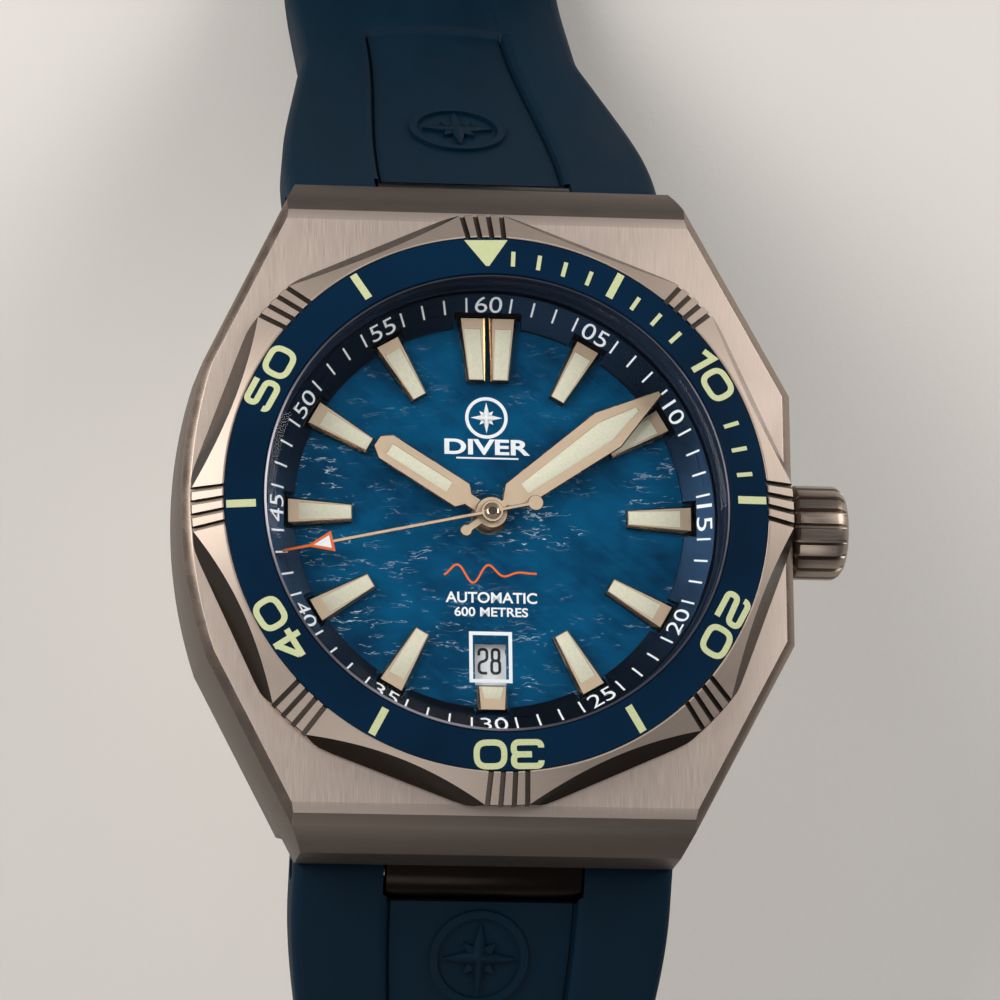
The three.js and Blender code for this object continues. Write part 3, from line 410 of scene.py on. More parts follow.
CAD_MATERIAL = {
    "steel_case": BACK_STEEL,
    "steel_bezel": BEZEL_BRUSHED,
    "steel_crown": CROWN_STEEL_SHADED,
    "steel_polished": PIN_STEEL,
    "steel_movement": MOVEMENT,
    "spring_steel": BLUED,
    "brass": BRASS,
    "champagne_steel": CHAMPAGNE,
    "sapphire": SAPPHIRE,
    "ceramic_blue": CERAMIC,
    "dial_blue": DIAL_BLUE,
    "chapter_blue": CHAPTER_BLUE,
    "date_white": DATE_WHITE,
    "holder_plastic": NYLON,
    "crystal_seal": CRYSTAL_SEAL,
    "seal": SEAL,
    "strap_rubber": RUBBER,
}
CAD_LOOK = {"hour_wheel": CHAMPAGNE, "fourth_wheel": PIN_STEEL}  # their ends show at the middle of the dial
for node_name, node_object in NODES.items():
    node_object.data.materials.clear()
    node_object.data.materials.append(CAD_LOOK.get(node_name, CAD_MATERIAL[SLOT_OF[node_name]]))


# ---- mesh helpers ----

WELD_M = 1e-8


def shade(obj, sharp_deg=30.0):
    """Welds the mesh, turns its faces outward, and smooths it except across sharp edges."""
    work = bmesh.new()
    work.from_mesh(obj.data)
    bmesh.ops.remove_doubles(work, verts=work.verts, dist=WELD_M)
    bmesh.ops.recalc_face_normals(work, faces=work.faces)
    for face in work.faces:
        face.smooth = True
    for edge in work.edges:
        edge.smooth = len(edge.link_faces) != 2 or edge.calc_face_angle() < math.radians(sharp_deg)
    work.to_mesh(obj.data)
    work.free()


def linked(name, data):
    """A new object in the scene."""
    obj = bpy.data.objects.new(name, data)
    bpy.context.scene.collection.objects.link(obj)
    return obj


def bare_piece(name, points, faces, material=None):
    """A mesh object from points in mm."""
    mesh = bpy.data.meshes.new(name)
    mesh.from_pydata([tuple(c * MM for c in p) for p in points], [], faces)
    if material:
        mesh.materials.append(material)
    return linked(name, mesh)


def settle(obj, body, sharp_deg=30.0):
    """Shades a finished piece and hands it to the body that it moves with."""
    shade(obj, sharp_deg)
    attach(obj, body)


def stand_in(obj, node, sharp_deg=30.0):
    """Settles a piece that is shown in place of a CAD node."""
    settle(obj, BODY_OF[node], sharp_deg)
    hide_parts(node)


def turned(name, profile, material=None, facets=FINE):
    """A profile of (radius, height) points turned about Z, closed from its last point to its first."""
    points, rings = [], []
    for radius, height in profile:
        if radius == 0:
            rings.append([len(points)])
            points.append((0, 0, height))
            continue
        rings.append(list(range(len(points), len(points) + facets)))
        for i in range(facets):
            angle = 2 * math.pi * i / facets
            points.append((radius * math.cos(angle), radius * math.sin(angle), height))
    pairs = list(zip(rings, rings[1:]))
    if len(rings[0]) > 1:
        pairs.append((rings[-1], rings[0]))
    faces = []
    for low, high in pairs:
        for i in range(facets):
            j = (i + 1) % facets
            face = [low[i % len(low)], low[j % len(low)], high[j % len(high)], high[i % len(high)]]
            face = list(dict.fromkeys(face))
            if len(face) > 2:
                faces.append(face)
    return bare_piece(name, points, faces, material)


def rod(radius, low, high, facets):
    """A plain cylinder about Z, to cut with."""
    return turned("rod", [(0, low), (radius, low), (radius, high), (0, high)], None, facets)


def slab(name, loops, material=None):
    """Loops of equal length, bottom first, joined in order and closed by their first and last loop."""
    count = len(loops[0])
    points = [p for loop in loops for p in loop]
    faces = [list(range(count))[::-1], [len(points) - count + i for i in range(count)]]
    for level in range(len(loops) - 1):
        for i in range(count):
            a, b = level * count + i, level * count + (i + 1) % count
            faces.append([a, b, b + count, a + count])
    return bare_piece(name, points, faces, material)


def apply_modifiers(obj):
    graph = bpy.context.evaluated_depsgraph_get()
    mesh = bpy.data.meshes.new_from_object(obj.evaluated_get(graph))
    obj.modifiers.clear()
    obj.data = mesh
    return obj


def carve(obj, tools, operation="DIFFERENCE"):
    """Cuts the tool objects out of obj, and removes them."""
    for tool in tools:
        shade(tool)
        change = obj.modifiers.new("cut", "BOOLEAN")
        change.operation = operation
        change.solver = "EXACT"
        change.object = tool
    bpy.context.view_layer.update()
    apply_modifiers(obj)
    for tool in tools:
        bpy.data.objects.remove(tool)
    return obj


def spin(degrees):
    return Matrix.Rotation(math.radians(degrees), 4, "Z")


def block(low, high, place):
    """A box between two corners in mm, set in place by a matrix, to cut with."""
    sides = ((low[0], low[1]), (high[0], low[1]), (high[0], high[1]), (low[0], high[1]))
    return slab("tool", [[tuple(place @ Vector((x, y, z))) for x, y in sides] for z in (low[2], high[2])])


NEAR_M = 2e-7
FLAT_DEG = 0.6


def refined(node, material, width, segments=2, angle=24.0):
    """Shows a CAD node's shape with every edge sharper than angle rounded, and with smooth shading."""
    obj = linked(node + "_fine", NODES[node].data.copy())
    work = bmesh.new()
    work.from_mesh(obj.data)
    bmesh.ops.remove_doubles(work, verts=work.verts, dist=NEAR_M)
    flat = math.radians(FLAT_DEG)
    bmesh.ops.dissolve_limit(work, angle_limit=flat, verts=work.verts, edges=work.edges)
    work.to_mesh(obj.data)
    work.free()
    bevel = obj.modifiers.new("edges", "BEVEL")
    bevel.width = width * MM
    bevel.segments = segments
    bevel.limit_method = "ANGLE"
    bevel.angle_limit = math.radians(angle)
    apply_modifiers(obj)
    obj.data.materials.clear()
    obj.data.materials.append(material)
    stand_in(obj, node, sharp_deg=32)
    return obj


def clock(radius, degrees, x=0.0):
    """The point at a radius and a clockwise angle from 12 o'clock, moved x to its right."""
    a = math.radians(degrees)
    return (radius * math.sin(a) + x * math.cos(a), radius * math.cos(a) - x * math.sin(a))


def inset(points, distance):
    """An outline moved inward by a distance. The points go anticlockwise."""
    moved = []
    for i, here in enumerate(points):
        here, before, after = Vector(here), Vector(points[i - 1]), Vector(points[(i + 1) % len(points)])
        first, second = (here - before).normalized(), (after - here).normalized()
        left = Vector((-first.y, first.x)) + Vector((-second.y, second.x))
        left.normalize()
        moved.append(here + left * distance / max(0.3, left.dot(Vector((-first.y, first.x)))))
    return moved


def paint(obj, material, chosen):
    """Gives a material to the faces for which chosen(normal, centre in mm) is true."""
    index = len(obj.data.materials)
    obj.data.materials.append(material)
    for polygon in obj.data.polygons:
        if chosen(polygon.normal, polygon.center / MM):
            polygon.material_index = index


# ---- flat figures laid on a surface ----

GLYPHS = {
    "0": [([(0, 0), (1, 0), (1, 1), (0, 1)], True)],
    "1": [([(0.18, 0.8), (0.6, 1), (0.6, -0.12)], False)],
    "2": [([(0, 0.74), (0, 1), (1, 1), (1, 0.53), (0, 0.45), (0, 0), (1, 0)], False)],
    "3": [
        ([(0, 0.77), (0, 1), (1, 1), (1, 0.51), (0.34, 0.51)], False),
        ([(0.34, 0.51), (1, 0.51), (1, 0), (0, 0), (0, 0.23)], False),
    ],
    "4": [
        ([(0.74, -0.12), (0.74, 1.1)], False),
        ([(0.76, 1), (0.02, 0.36)], False),
        ([(-0.06, 0.27), (1.06, 0.27)], False),
    ],
    "5": [([(0.95, 1), (0.05, 1), (0.05, 0.57), (1, 0.57), (1, 0), (0, 0), (0, 0.2)], False)],
    "6": [([(0.97, 0.82), (0.97, 1), (0, 1), (0, 0), (1, 0), (1, 0.58), (0.05, 0.58)], False)],
    "7": [([(0, 1), (1, 1), (0.36, 0)], False)],
    "8": [
        ([(0, 0), (1, 0), (1, 0.53), (0, 0.53)], True),
        ([(0.07, 0.53), (0.93, 0.53), (0.93, 1), (0.07, 1)], True),
    ],
    "9": [([(0.03, 0.18), (0.03, 0), (1, 0), (1, 1), (0, 1), (0, 0.42), (0.95, 0.42)], False)],
}
CORNER_STEPS = 6


def rounded(points, closed, radius):
    """The path with an arc in place of each corner."""
    count = len(points)
    path = []
    for i, point in enumerate(points):
        here = Vector(point)
        if not closed and i in (0, count - 1):
            path.append(here)
            continue
        before, after = Vector(points[i - 1]) - here, Vector(points[(i + 1) % count]) - here
        first_share = 0.97 if not closed and i == 1 else 0.48
        last_share = 0.97 if not closed and i == count - 2 else 0.48
        reach = min(radius, before.length * first_share, after.length * last_share)
        start, end = here + before.normalized() * reach, here + after.normalized() * reach
        for step in range(CORNER_STEPS + 1):
            t = step / CORNER_STEPS
            path.append(start * (1 - t) ** 2 + here * 2 * t * (1 - t) + end * t**2)
    return path


def ribbon(path, closed, width):
    """The left and right edges of a stroke of a given width along a path."""
    left, right = [], []
    count = len(path)
    for i, point in enumerate(path):
        ahead = path[(i + 1) % count] if closed or i + 1 < count else point
        behind = path[i - 1] if closed or i else point
        first, second = (point - behind), (ahead - point)
        if first.length < 1e-9:
            first = second
        if second.length < 1e-9:
            second = first
        first, second = first.normalized(), second.normalized()
        normal = Vector((-first.y - second.y, first.x + second.x)).normalized()
        reach = width / 2 / max(0.4, normal.dot(Vector((-second.y, second.x))))
        left.append(point + normal * reach)
        right.append(point - normal * reach)
    return left, right


SUNK = -0.02  # how far printed figures reach into the surface under them


class Sheet:
    """Thin figures laid on a surface: place turns flat x, y and a height above the surface into a point."""

    def __init__(self, place, thickness=0.03):
        self.place = place
        self.thickness = thickness
        self.points = []
        self.faces = []
        self.strokes = 0

    def strip(self, left, right, closed=False):
        """A stroke between two edges. Each one is a hair thicker or thinner than the one before it."""
        self.strokes += 1
        lift = self.thickness + 0.002 * (self.strokes % 3)
        start = len(self.points)
        count = len(left)
        for a, b in zip(left, right):
            for side, height in ((a, SUNK), (b, SUNK), (b, lift), (a, lift)):
                self.points.append(self.place(side.x, side.y, height))
        for i in range(count if closed else count - 1):
            here, there = start + 4 * i, start + 4 * ((i + 1) % count)
            for c in range(4):
                d = (c + 1) % 4
                self.faces.append([here + c, here + d, there + d, there + c])
        if not closed:
            last = start + 4 * (count - 1)
            self.faces += [[start + 3, start + 2, start + 1, start], [last, last + 1, last + 2, last + 3]]

    def stroke(self, points, width, closed=False, radius=0.0):
        path = rounded(points, closed, radius) if radius else [Vector(p) for p in points]
        self.strip(*ribbon(path, closed, width), closed)

    def bar(self, x, low, high, width, top_width=None):
        top_width = width if top_width is None else top_width
        ends = ((low, width), (high, top_width))
        left = [Vector((x - w / 2, y)) for y, w in ends]
        self.strip(left, [Vector((x + w / 2, y)) for y, w in ends])

    def patch(self, points):
        """A convex figure, given by its corners."""
        start, count = len(self.points), len(points)
        for height in (SUNK, self.thickness):
            self.points += [self.place(x, y, height) for x, y in points]
        self.faces += [[start + i for i in reversed(range(count))], [start + count + i for i in range(count)]]
        for i in range(count):
            j = (i + 1) % count
            self.faces.append([start + i, start + j, start + count + j, start + count + i])

    def digits(self, text, width, height, stroke, gap, centre, flip=False, radius=0.34):
        """Digits side by side about a centre; a 1 takes less room than the others."""
        widths = [width * (0.5 if c == "1" else 1.0) for c in text]
        x = -(sum(widths) + gap * (len(text) - 1)) / 2
        turn = -1 if flip else 1
        span, rise = width - stroke, height - stroke
        for char, room in zip(text, widths):
            left = x + stroke / 2 - (0.22 * width if char == "1" else 0.0)
            for outline, closed in GLYPHS[char]:
                path = [(left + u * span, -rise / 2 + v * rise) for u, v in outline]
                path = [(centre[0] + turn * u, centre[1] + turn * v) for u, v in path]
                self.stroke(path, stroke, closed, 0.0 if char in "14" else radius * width)
            x += room + gap

    def piece(self, name, material, body, slot):
        settle(bare_piece(name, self.points, self.faces, material), body, sharp_deg=35)


def on_cone(degrees, surface):
    """Places flat figures at a clock angle: x to the right, y outward as a radius, on a turned surface."""

    def place(x, y, height):
        px, py = clock(y, degrees, x)
        return (px, py, surface(math.hypot(px, py)) + height)

    return place


def on_dial(x, y, height):
    return (x, y, DIAL_TOP + height)


def many(name, sheets, material, body, slot):
    """Several sheets of figures as one piece."""
    whole = Sheet(None)
    for sheet in sheets:
        start = len(whole.points)
        whole.points += sheet.points
        whole.faces += [[start + i for i in face] for face in sheet.faces]
    whole.piece(name, material, body, slot)


def word_shape(text, width, height, weight):
    """Points and faces of a word in the built-in sans letters, centred and fitted to a size; z is 0 or 1."""
    curve = bpy.data.curves.new(text, "FONT")
    curve.body = text
    curve.extrude = 0.01
    curve.offset = weight
    source = linked(text, curve)
    bpy.context.view_layer.update()
    mesh = bpy.data.meshes.new_from_object(source.evaluated_get(bpy.context.evaluated_depsgraph_get()))
    bpy.data.objects.remove(source)
    low = [min(v.co[i] for v in mesh.vertices) for i in range(3)]
    span = [max(v.co[i] for v in mesh.vertices) - low[i] for i in range(3)]
    shares = [[(v.co[i] - low[i]) / span[i] for i in range(3)] for v in mesh.vertices]
    points = [((x - 0.5) * width, (y - 0.5) * height, z) for x, y, z in shares]
    faces = [list(polygon.vertices) for polygon in mesh.polygons]
    bpy.data.meshes.remove(mesh)
    return points, faces


def emblem(place, radius, thickness):
    """A plain compass star in a ring: four long rays and four short ones."""
    sheet = Sheet(place, thickness)
    turns = [2 * math.pi * i / 48 for i in range(48)]
    sheet.stroke([(radius * math.sin(a), radius * math.cos(a)) for a in turns], radius * 0.17, closed=True)
    long_ray = Sizes(start=0.0, waist=0.16, tip=0.8, lift=0.004)
    short_ray = Sizes(start=0.16, waist=0.1, tip=0.5, lift=0.0)
    for i in range(8):
        ray = short_ray if i % 2 else long_ray
        angle = math.pi * i / 4
        along = Vector((math.sin(angle), math.cos(angle))) * radius
        across = Vector((math.cos(angle), -math.sin(angle))) * radius * ray.waist
        middle = along * (ray.start + ray.waist)
        sheet.thickness = thickness + ray.lift
        sheet.patch([tuple(p) for p in (along * ray.start, middle - across, along * ray.tip, middle + across)])
    return sheet


# ---- case ----

CASE = Sizes(chamfer_foot_z=9.0, lug_y=22.6, lug_top_z=4.4)

case = refined("case_middle", CASE_STEEL, width=0.1, angle=20)
# the chamfers take the darkened polish: painted shade
paint(case, CASE_POLISH_SHADED, lambda n, c: 0.3 < n.z < 0.92 and abs(n.x) > 0.35 and c.z > CASE.chamfer_foot_z)
# painted shadow on the lugs under the hood
paint(case, LUG_SHADOW_STEEL, lambda n, c: abs(c.y) > CASE.lug_y and c.z < CASE.lug_top_z)
refined("upper_lug_bar", PIN_STEEL, width=0.15)
refined("lower_lug_bar", PIN_STEEL, width=0.15)

BACK = Sizes(
    dish_r=9.0, dish=0.12, ring_rs=(10.4, 10.9, 13.2, 13.7), ring_half=0.12, ring_foot=0.05, ring_deep=0.09,
    rim=0.45, seat_z=1.4, wall_r=16.1, bore_r=14.6, plate_z=0.9,
    notches=6, notch_r=15.6, notch_half=1.2, notch_z=0.6,
)


def case_back():
    """A screwed back: a shallow dish, four thin turned rings, a rounded rim and six wrench notches."""
    low, high = box_mm("case_back")
    flange, floor, top = high.x, low.z, high.z
    dish_r, dish_z, deep_z = BACK.dish_r, floor + BACK.dish, floor + BACK.ring_deep
    profile = [(0, dish_z), (dish_r, dish_z), (dish_r + 0.1, floor + 0.02), (dish_r + 0.2, floor)]
    for radius in BACK.ring_rs:
        profile += [(radius - BACK.ring_half, floor), (radius - BACK.ring_foot, deep_z)]
        profile += [(radius + BACK.ring_foot, deep_z), (radius + BACK.ring_half, floor)]
    profile += [
        (flange - BACK.rim, floor), (flange - 0.1, floor + 0.32), (flange, floor + BACK.rim),
        (flange, BACK.seat_z - 0.04), (flange - 0.05, BACK.seat_z), (BACK.wall_r, BACK.seat_z),
        (BACK.wall_r, top - 0.1), (BACK.wall_r - 0.1, top), (BACK.bore_r, top),
        (BACK.bore_r, BACK.plate_z), (0, BACK.plate_z),
    ]
    back = turned("case_back_fine", profile, BACK_STEEL)
    near, far = (BACK.notch_r, -BACK.notch_half, -1), (flange + 1, BACK.notch_half, BACK.notch_z)
    carve(back, [block(near, far, spin(360 / BACK.notches * i)) for i in range(BACK.notches)])
    stand_in(back, "case_back")


case_back()

# ---- bezel ----

BEZEL = Sizes(
    under_z=10.5, outer_r=21.75, rim_r=19.72, wall_z=11.35, bore_r=18.05, spring_r=18.35, spring_far_r=20.4,
    spring_z=10.95, catch_r=18.45, catch_z=11.6, catch_top_z=12.0, seat_z=12.4, facets=384,
    flat_top_r=19.95, flat_foot_r=21.0,
    groove_degs=(-3.8, -1.27, 1.27, 3.8), groove_half=0.19, groove_deep=0.4,
)


def bezel_ring():
    """A turned ring whose cone has eight flat facets, with four grooves between each two."""
    rim_z = box_mm("bezel_ring")[1].z
    under_z, wall_z = BEZEL.under_z, BEZEL.wall_z
    bore_r, rim_r, outer_r = BEZEL.bore_r, BEZEL.rim_r, BEZEL.outer_r
    wall_r = INSERT_OUTER_R + 0.04
    profile = [
        (bore_r, under_z), (BEZEL.spring_r, under_z), (BEZEL.spring_r, BEZEL.spring_z),
        (BEZEL.spring_far_r, BEZEL.spring_z), (BEZEL.spring_far_r, under_z),
        (outer_r - 0.25, under_z), (outer_r - 0.05, under_z + 0.08), (outer_r, under_z + 0.25),
        (outer_r, wall_z - 0.06), (outer_r - 0.04, wall_z + 0.03), (rim_r + 0.06, rim_z - 0.05),
        (rim_r, rim_z), (wall_r + 0.03, rim_z), (wall_r, rim_z - 0.03), (wall_r, BEZEL.seat_z),
        (bore_r, BEZEL.seat_z), (bore_r, BEZEL.catch_top_z), (BEZEL.catch_r, BEZEL.catch_top_z),
        (BEZEL.catch_r, BEZEL.catch_z), (bore_r, BEZEL.catch_z),
    ]
    ring = turned("bezel_ring_fine", profile, BEZEL_BRUSHED, BEZEL.facets)
    cone_fall = math.atan2(rim_z - wall_z, outer_r - rim_r)
    flat_fall = math.atan2(rim_z - under_z, BEZEL.flat_foot_r - BEZEL.flat_top_r)
    side = 360 / BEZEL_SIDES

    def on_slope(degrees, radius, fall):
        return spin(degrees) @ Matrix.Translation((radius, 0, rim_z)) @ Matrix.Rotation(fall, 4, "Y")

    flats, grooves = [], []
    for i in range(BEZEL_SIDES):
        flats.append(block((-3, -9, 0), (8, 9, 6), on_slope(side * (i + 0.5), BEZEL.flat_top_r, flat_fall)))
        for degrees in BEZEL.groove_degs:
            near, far = (-0.6, -BEZEL.groove_half, -BEZEL.groove_deep), (6, BEZEL.groove_half, 3)
            grooves.append(block(near, far, on_slope(side * i + degrees, rim_r, cone_fall)))
    carve(ring, flats)
    carve(ring, grooves)

    def on_flat(normal, centre):
        return abs(normal.z - math.cos(flat_fall)) < 0.03 and centre.to_2d().length > BEZEL.flat_top_r - 0.1

    def in_groove(normal, centre):
        radius = centre.to_2d().length
        degrees = math.degrees(math.atan2(centre.y, centre.x)) % side
        depth = rim_z - centre.z - (radius - rim_r) * math.tan(cone_fall)
        inside = 0.04 < depth < 0.8 and radius < outer_r - 0.02 and centre.z > under_z + 0.3
        return inside and min(degrees, side - degrees) < 4.6

    # painted shade on the eight flat facets
    paint(ring, BEZEL_FACET_SHADE, on_flat)
    # painted shade in the grooves
    paint(ring, BEZEL_GROOVE_SHADE, in_groove)
    ring.data.transform(spin(BEZEL_REST_DEG))
    stand_in(ring, "bezel_ring", sharp_deg=12)


bezel_ring()

INSERT_FOOT_Z = 12.43
insert = turned(
    "bezel_insert_fine",
    [
        (INSERT_INNER_R, INSERT_FOOT_Z), (INSERT_OUTER_R - 0.1, INSERT_FOOT_Z),
        (INSERT_OUTER_R, INSERT_FOOT_Z + 0.07),
        (INSERT_OUTER_R, INSERT_EDGE_Z - 0.05), (INSERT_OUTER_R - 0.06, INSERT_EDGE_Z + 0.005),
        (INSERT_INNER_R + 0.08, INSERT_INNER_Z - 0.01), (INSERT_INNER_R, INSERT_INNER_Z - 0.09),
    ],
    CERAMIC,
)
stand_in(insert, "bezel_insert")


def insert_surface(radius):
    share = (INSERT_OUTER_R - radius) / (INSERT_OUTER_R - INSERT_INNER_R)
    return INSERT_EDGE_Z + share * (INSERT_INNER_Z - INSERT_EDGE_Z)


def insert_marks():
    """The triangle, the single minutes up to 15, the bars of five minutes, and the tens as numbers."""
    sheets = []

    def sheet_at(minute):
        sheets.append(Sheet(on_cone(6 * minute - BEZEL_REST_DEG, insert_surface), 0.025))
        return sheets[-1]

    sheet_at(0).patch([(0.12, 17.4), (1.575, 19.4), (-1.575, 19.4), (-0.12, 17.4)])
    for minute in (1, 2, 3, 4, 6, 7, 8, 12, 13, 14):
        sheet_at(minute).bar(0, 17.45, 18.6, 0.3)
    for minute in range(5, 60, 10):
        sheet_at(minute).bar(0, 17.35, 19.43, 0.55)
    for minute in range(10, 60, 10):
        sheet_at(minute).digits(str(minute), 2.4, 2.1, 0.43, 0.25, (0, 18.4), radius=0.3)
    many("bezel_insert_lume", sheets, LUME_BEZEL, "bezel", "ceramic_blue")


insert_marks()

# ---- crystal ----

GLASS = Sizes(rim_r=16.75, bevel_r=15.95, foot_top_z=12.26, shoulder_z=13.3, bevel_z=13.75, dome_steps=14)
SEAL_RING = Sizes(sleeve_r=16.53, seat_r=16.27, seat_z=10.92, ease=0.06)


def crystal():
    """A foot that fits the seal, a wider rim whose wall shows the seal, a chamfer painted as a polished band
    for the glint on the crystal's edge, and a low dome.
    """
    low, high = box_mm("crystal")
    foot_r, rim_r, under, shoulder = high.x, GLASS.rim_r, low.z, GLASS.shoulder_z
    shares = [1 - i / GLASS.dome_steps for i in range(GLASS.dome_steps + 1)]
    dome = [(GLASS.bevel_r * share, high.z - (high.z - GLASS.bevel_z) * share**2) for share in shares]
    profile = [
        (0, under), (foot_r - 0.2, under), (foot_r, under + 0.2), (foot_r, GLASS.foot_top_z),
        (rim_r - 0.05, GLASS.foot_top_z + 0.04), (rim_r, GLASS.foot_top_z + 0.09),
        (rim_r, shoulder - 0.08), (rim_r - 0.15, shoulder + 0.05), *dome,
    ]
    glass = turned("crystal_fine", profile, SAPPHIRE)
    paint(glass, CRYSTAL_SEAL, lambda n, c: c.z > GLASS.foot_top_z + 0.04 and c.to_2d().length > rim_r - 0.04)
    # painted highlight on the chamfer
    paint(glass, CRYSTAL_EDGE_GLINT, lambda n, c: c.z > shoulder - 0.06 and c.to_2d().length > rim_r - 0.14)
    stand_in(glass, "crystal", sharp_deg=20)


def crystal_gasket():
    """An L-shaped seal: a narrow seat under the crystal's rim, and a sleeve round it."""
    low, high = box_mm("crystal_gasket")
    sleeve_r, seat_r, seat_z, ease = SEAL_RING.sleeve_r, SEAL_RING.seat_r, SEAL_RING.seat_z, SEAL_RING.ease
    profile = [
        (seat_r, low.z), (high.x - 0.08, low.z), (high.x, low.z + 0.08),
        (high.x, high.z - ease), (high.x - ease, high.z), (sleeve_r + ease, high.z), (sleeve_r, high.z - ease),
        (sleeve_r, seat_z), (seat_r + 0.05, seat_z), (seat_r, seat_z - 0.05),
    ]
    stand_in(turned("crystal_gasket_fine", profile, CRYSTAL_SEAL), "crystal_gasket")


crystal()
crystal_gasket()

# ---- chapter ring and markers ----

CHAPTER = Sizes(step_r=15.1, foot_z=8.63, notch_r=14.9, notch_half=1.35, wide_notch_half=2.45)
FOOT_Z = DIAL_TOP + 0.03  # where the pieces that stand on the dial begin


def ring_surface(radius):
    share = (radius - RING_INNER_R) / (RING_OUTER_R - RING_INNER_R)
    return RING_INNER_Z + share * (RING_OUTER_Z - RING_INNER_Z)


def chapter_ring():
    """A sloping ring with a notch for every marker."""
    high = box_mm("chapter_ring")[1]
    profile = [
        (RING_INNER_R, FOOT_Z), (CHAPTER.step_r, FOOT_Z), (CHAPTER.step_r, CHAPTER.foot_z),
        (high.x, CHAPTER.foot_z), (high.x, RING_OUTER_Z), (RING_OUTER_R, RING_OUTER_Z),
        (RING_INNER_R + 0.05, RING_INNER_Z + 0.03), (RING_INNER_R, RING_INNER_Z - 0.02),
    ]
    ring = turned("chapter_ring_fine", profile, CHAPTER_BLUE)
    cuts = []
    for hour in range(12):
        half = CHAPTER.notch_half if hour else CHAPTER.wide_notch_half
        cuts.append(block((-half, RING_INNER_R - 1.1, 8), (half, CHAPTER.notch_r, 11), spin(-30 * hour)))
    carve(ring, cuts)
    stand_in(ring, "chapter_ring")


def chapter_print():
    """A bar for each minute and a number for every fifth. The lower numbers stand upright."""
    sheets = []
    number_r, number_height, number_weight = 15.42, 1.0, -0.003
    for minute in range(60):
        sheet = Sheet(on_cone(6 * minute, ring_surface), 0.02)
        if minute % 5:
            sheet.bar(0, 14.98, 15.88, 0.14)
        else:
            way = -1 if 20 <= minute <= 40 else 1
            width = 1.6 if minute == 10 else 1.95
            points, sheet.faces = word_shape(f"{minute or 60:02d}", width, number_height, number_weight)
            sheet.points = [sheet.place(way * x, number_r + way * y, 0.05 * z + SUNK) for x, y, z in points]
        sheets.append(sheet)
    many("chapter_ring_print", sheets, WHITE_PRINT, "case", "date_white")


chapter_ring()
chapter_print()

MARKER = Sizes(ends=(14.72, 9.9), rise=0.7, wall=0.42, lume_from=0.94, lume_w=0.56, lume_in_w=0.72)


def marker(name, hour, outer_w, inner_w, outer_x=0.0, inner_x=0.0, ends=MARKER.ends):
    """A bevelled block whose top holds a sunk bed of lume that tapers with it."""
    outer_r, inner_r = ends

    def loop(z, outer_in, inner_in, outer_width, inner_width):
        """The outline at a height, its ends moved inward."""
        corners = [
            (outer_x - outer_width / 2, outer_r - outer_in), (outer_x + outer_width / 2, outer_r - outer_in),
            (inner_x + inner_width / 2, inner_r + inner_in), (inner_x - inner_width / 2, inner_r + inner_in),
        ]
        return [(*clock(r, 30 * hour, x), z) for x, r in corners]

    def bed(z, ease):
        """The outline of the lume bed, made smaller by ease on every side."""
        widths = (outer_w * MARKER.lume_w - 2 * ease, inner_w * MARKER.lume_in_w - 2 * ease)
        return loop(z, MARKER.lume_from + ease, 0.12 + ease, *widths)

    top = FOOT_Z + MARKER.rise
    body = slab(
        name + "_fine",
        [
            loop(FOOT_Z, 0, 0, outer_w, inner_w),
            loop(FOOT_Z + MARKER.wall, 0, 0, outer_w, inner_w),
            loop(top - 0.02, 0.14, 0.07, outer_w - 0.44, inner_w - 0.26),
            loop(top, 0.17, 0.09, outer_w - 0.49, inner_w - 0.3),
            bed(top, 0),
            bed(top - 0.09, 0),
        ],
        CHAMPAGNE,
    )
    shade(body)
    # painted shade on the marker's sides
    paint(body, CHAMPAGNE_EDGE_SHADE, lambda n, c: n.z < 0.3)
    paint(body, CHAMPAGNE_POLISH, lambda n, c: 0.3 <= n.z < 0.9)
    stand_in(body, name, sharp_deg=15)
    filling = [bed(top - 0.085, 0.01), bed(top - 0.03, 0.01), bed(top - 0.01, 0.06)]
    fill = slab(name + "_lume", filling, LUME_HAND)
    settle(fill, "case", sharp_deg=50)


for hour in range(1, 12):
    if hour == 6:
        marker("marker_06", hour, 2.2, 2.2, ends=(14.45, 12.5))
    else:
        marker(f"marker_{hour:02d}", hour, 2.2, 1.3)
for side, word in ((-1, "left"), (1, "right")):
    marker("marker_12_" + word, 0, 2.1, 1.4, side * 1.135, side * 0.86)

# ---- dial printing ----

DATE_Y = -10.3


def lettering(name, text, width, height, centre, weight):
    """A word printed on the dial."""
    points, faces = word_shape(text, width, height, weight)
    points = [(x + centre[0], y + centre[1], DIAL_TOP - 0.01 + 0.05 * z) for x, y, z in points]
    settle(bare_piece(name, points, faces, WHITE_PRINT), "case", sharp_deg=35)


def dial_line(name, points, width, thickness=0.03, closed=False, material=WHITE_PRINT):
    """A line printed on the dial."""
    line = Sheet(on_dial, thickness)
    line.stroke(points, width, closed)
    line.piece(name, material, "case", "date_white")


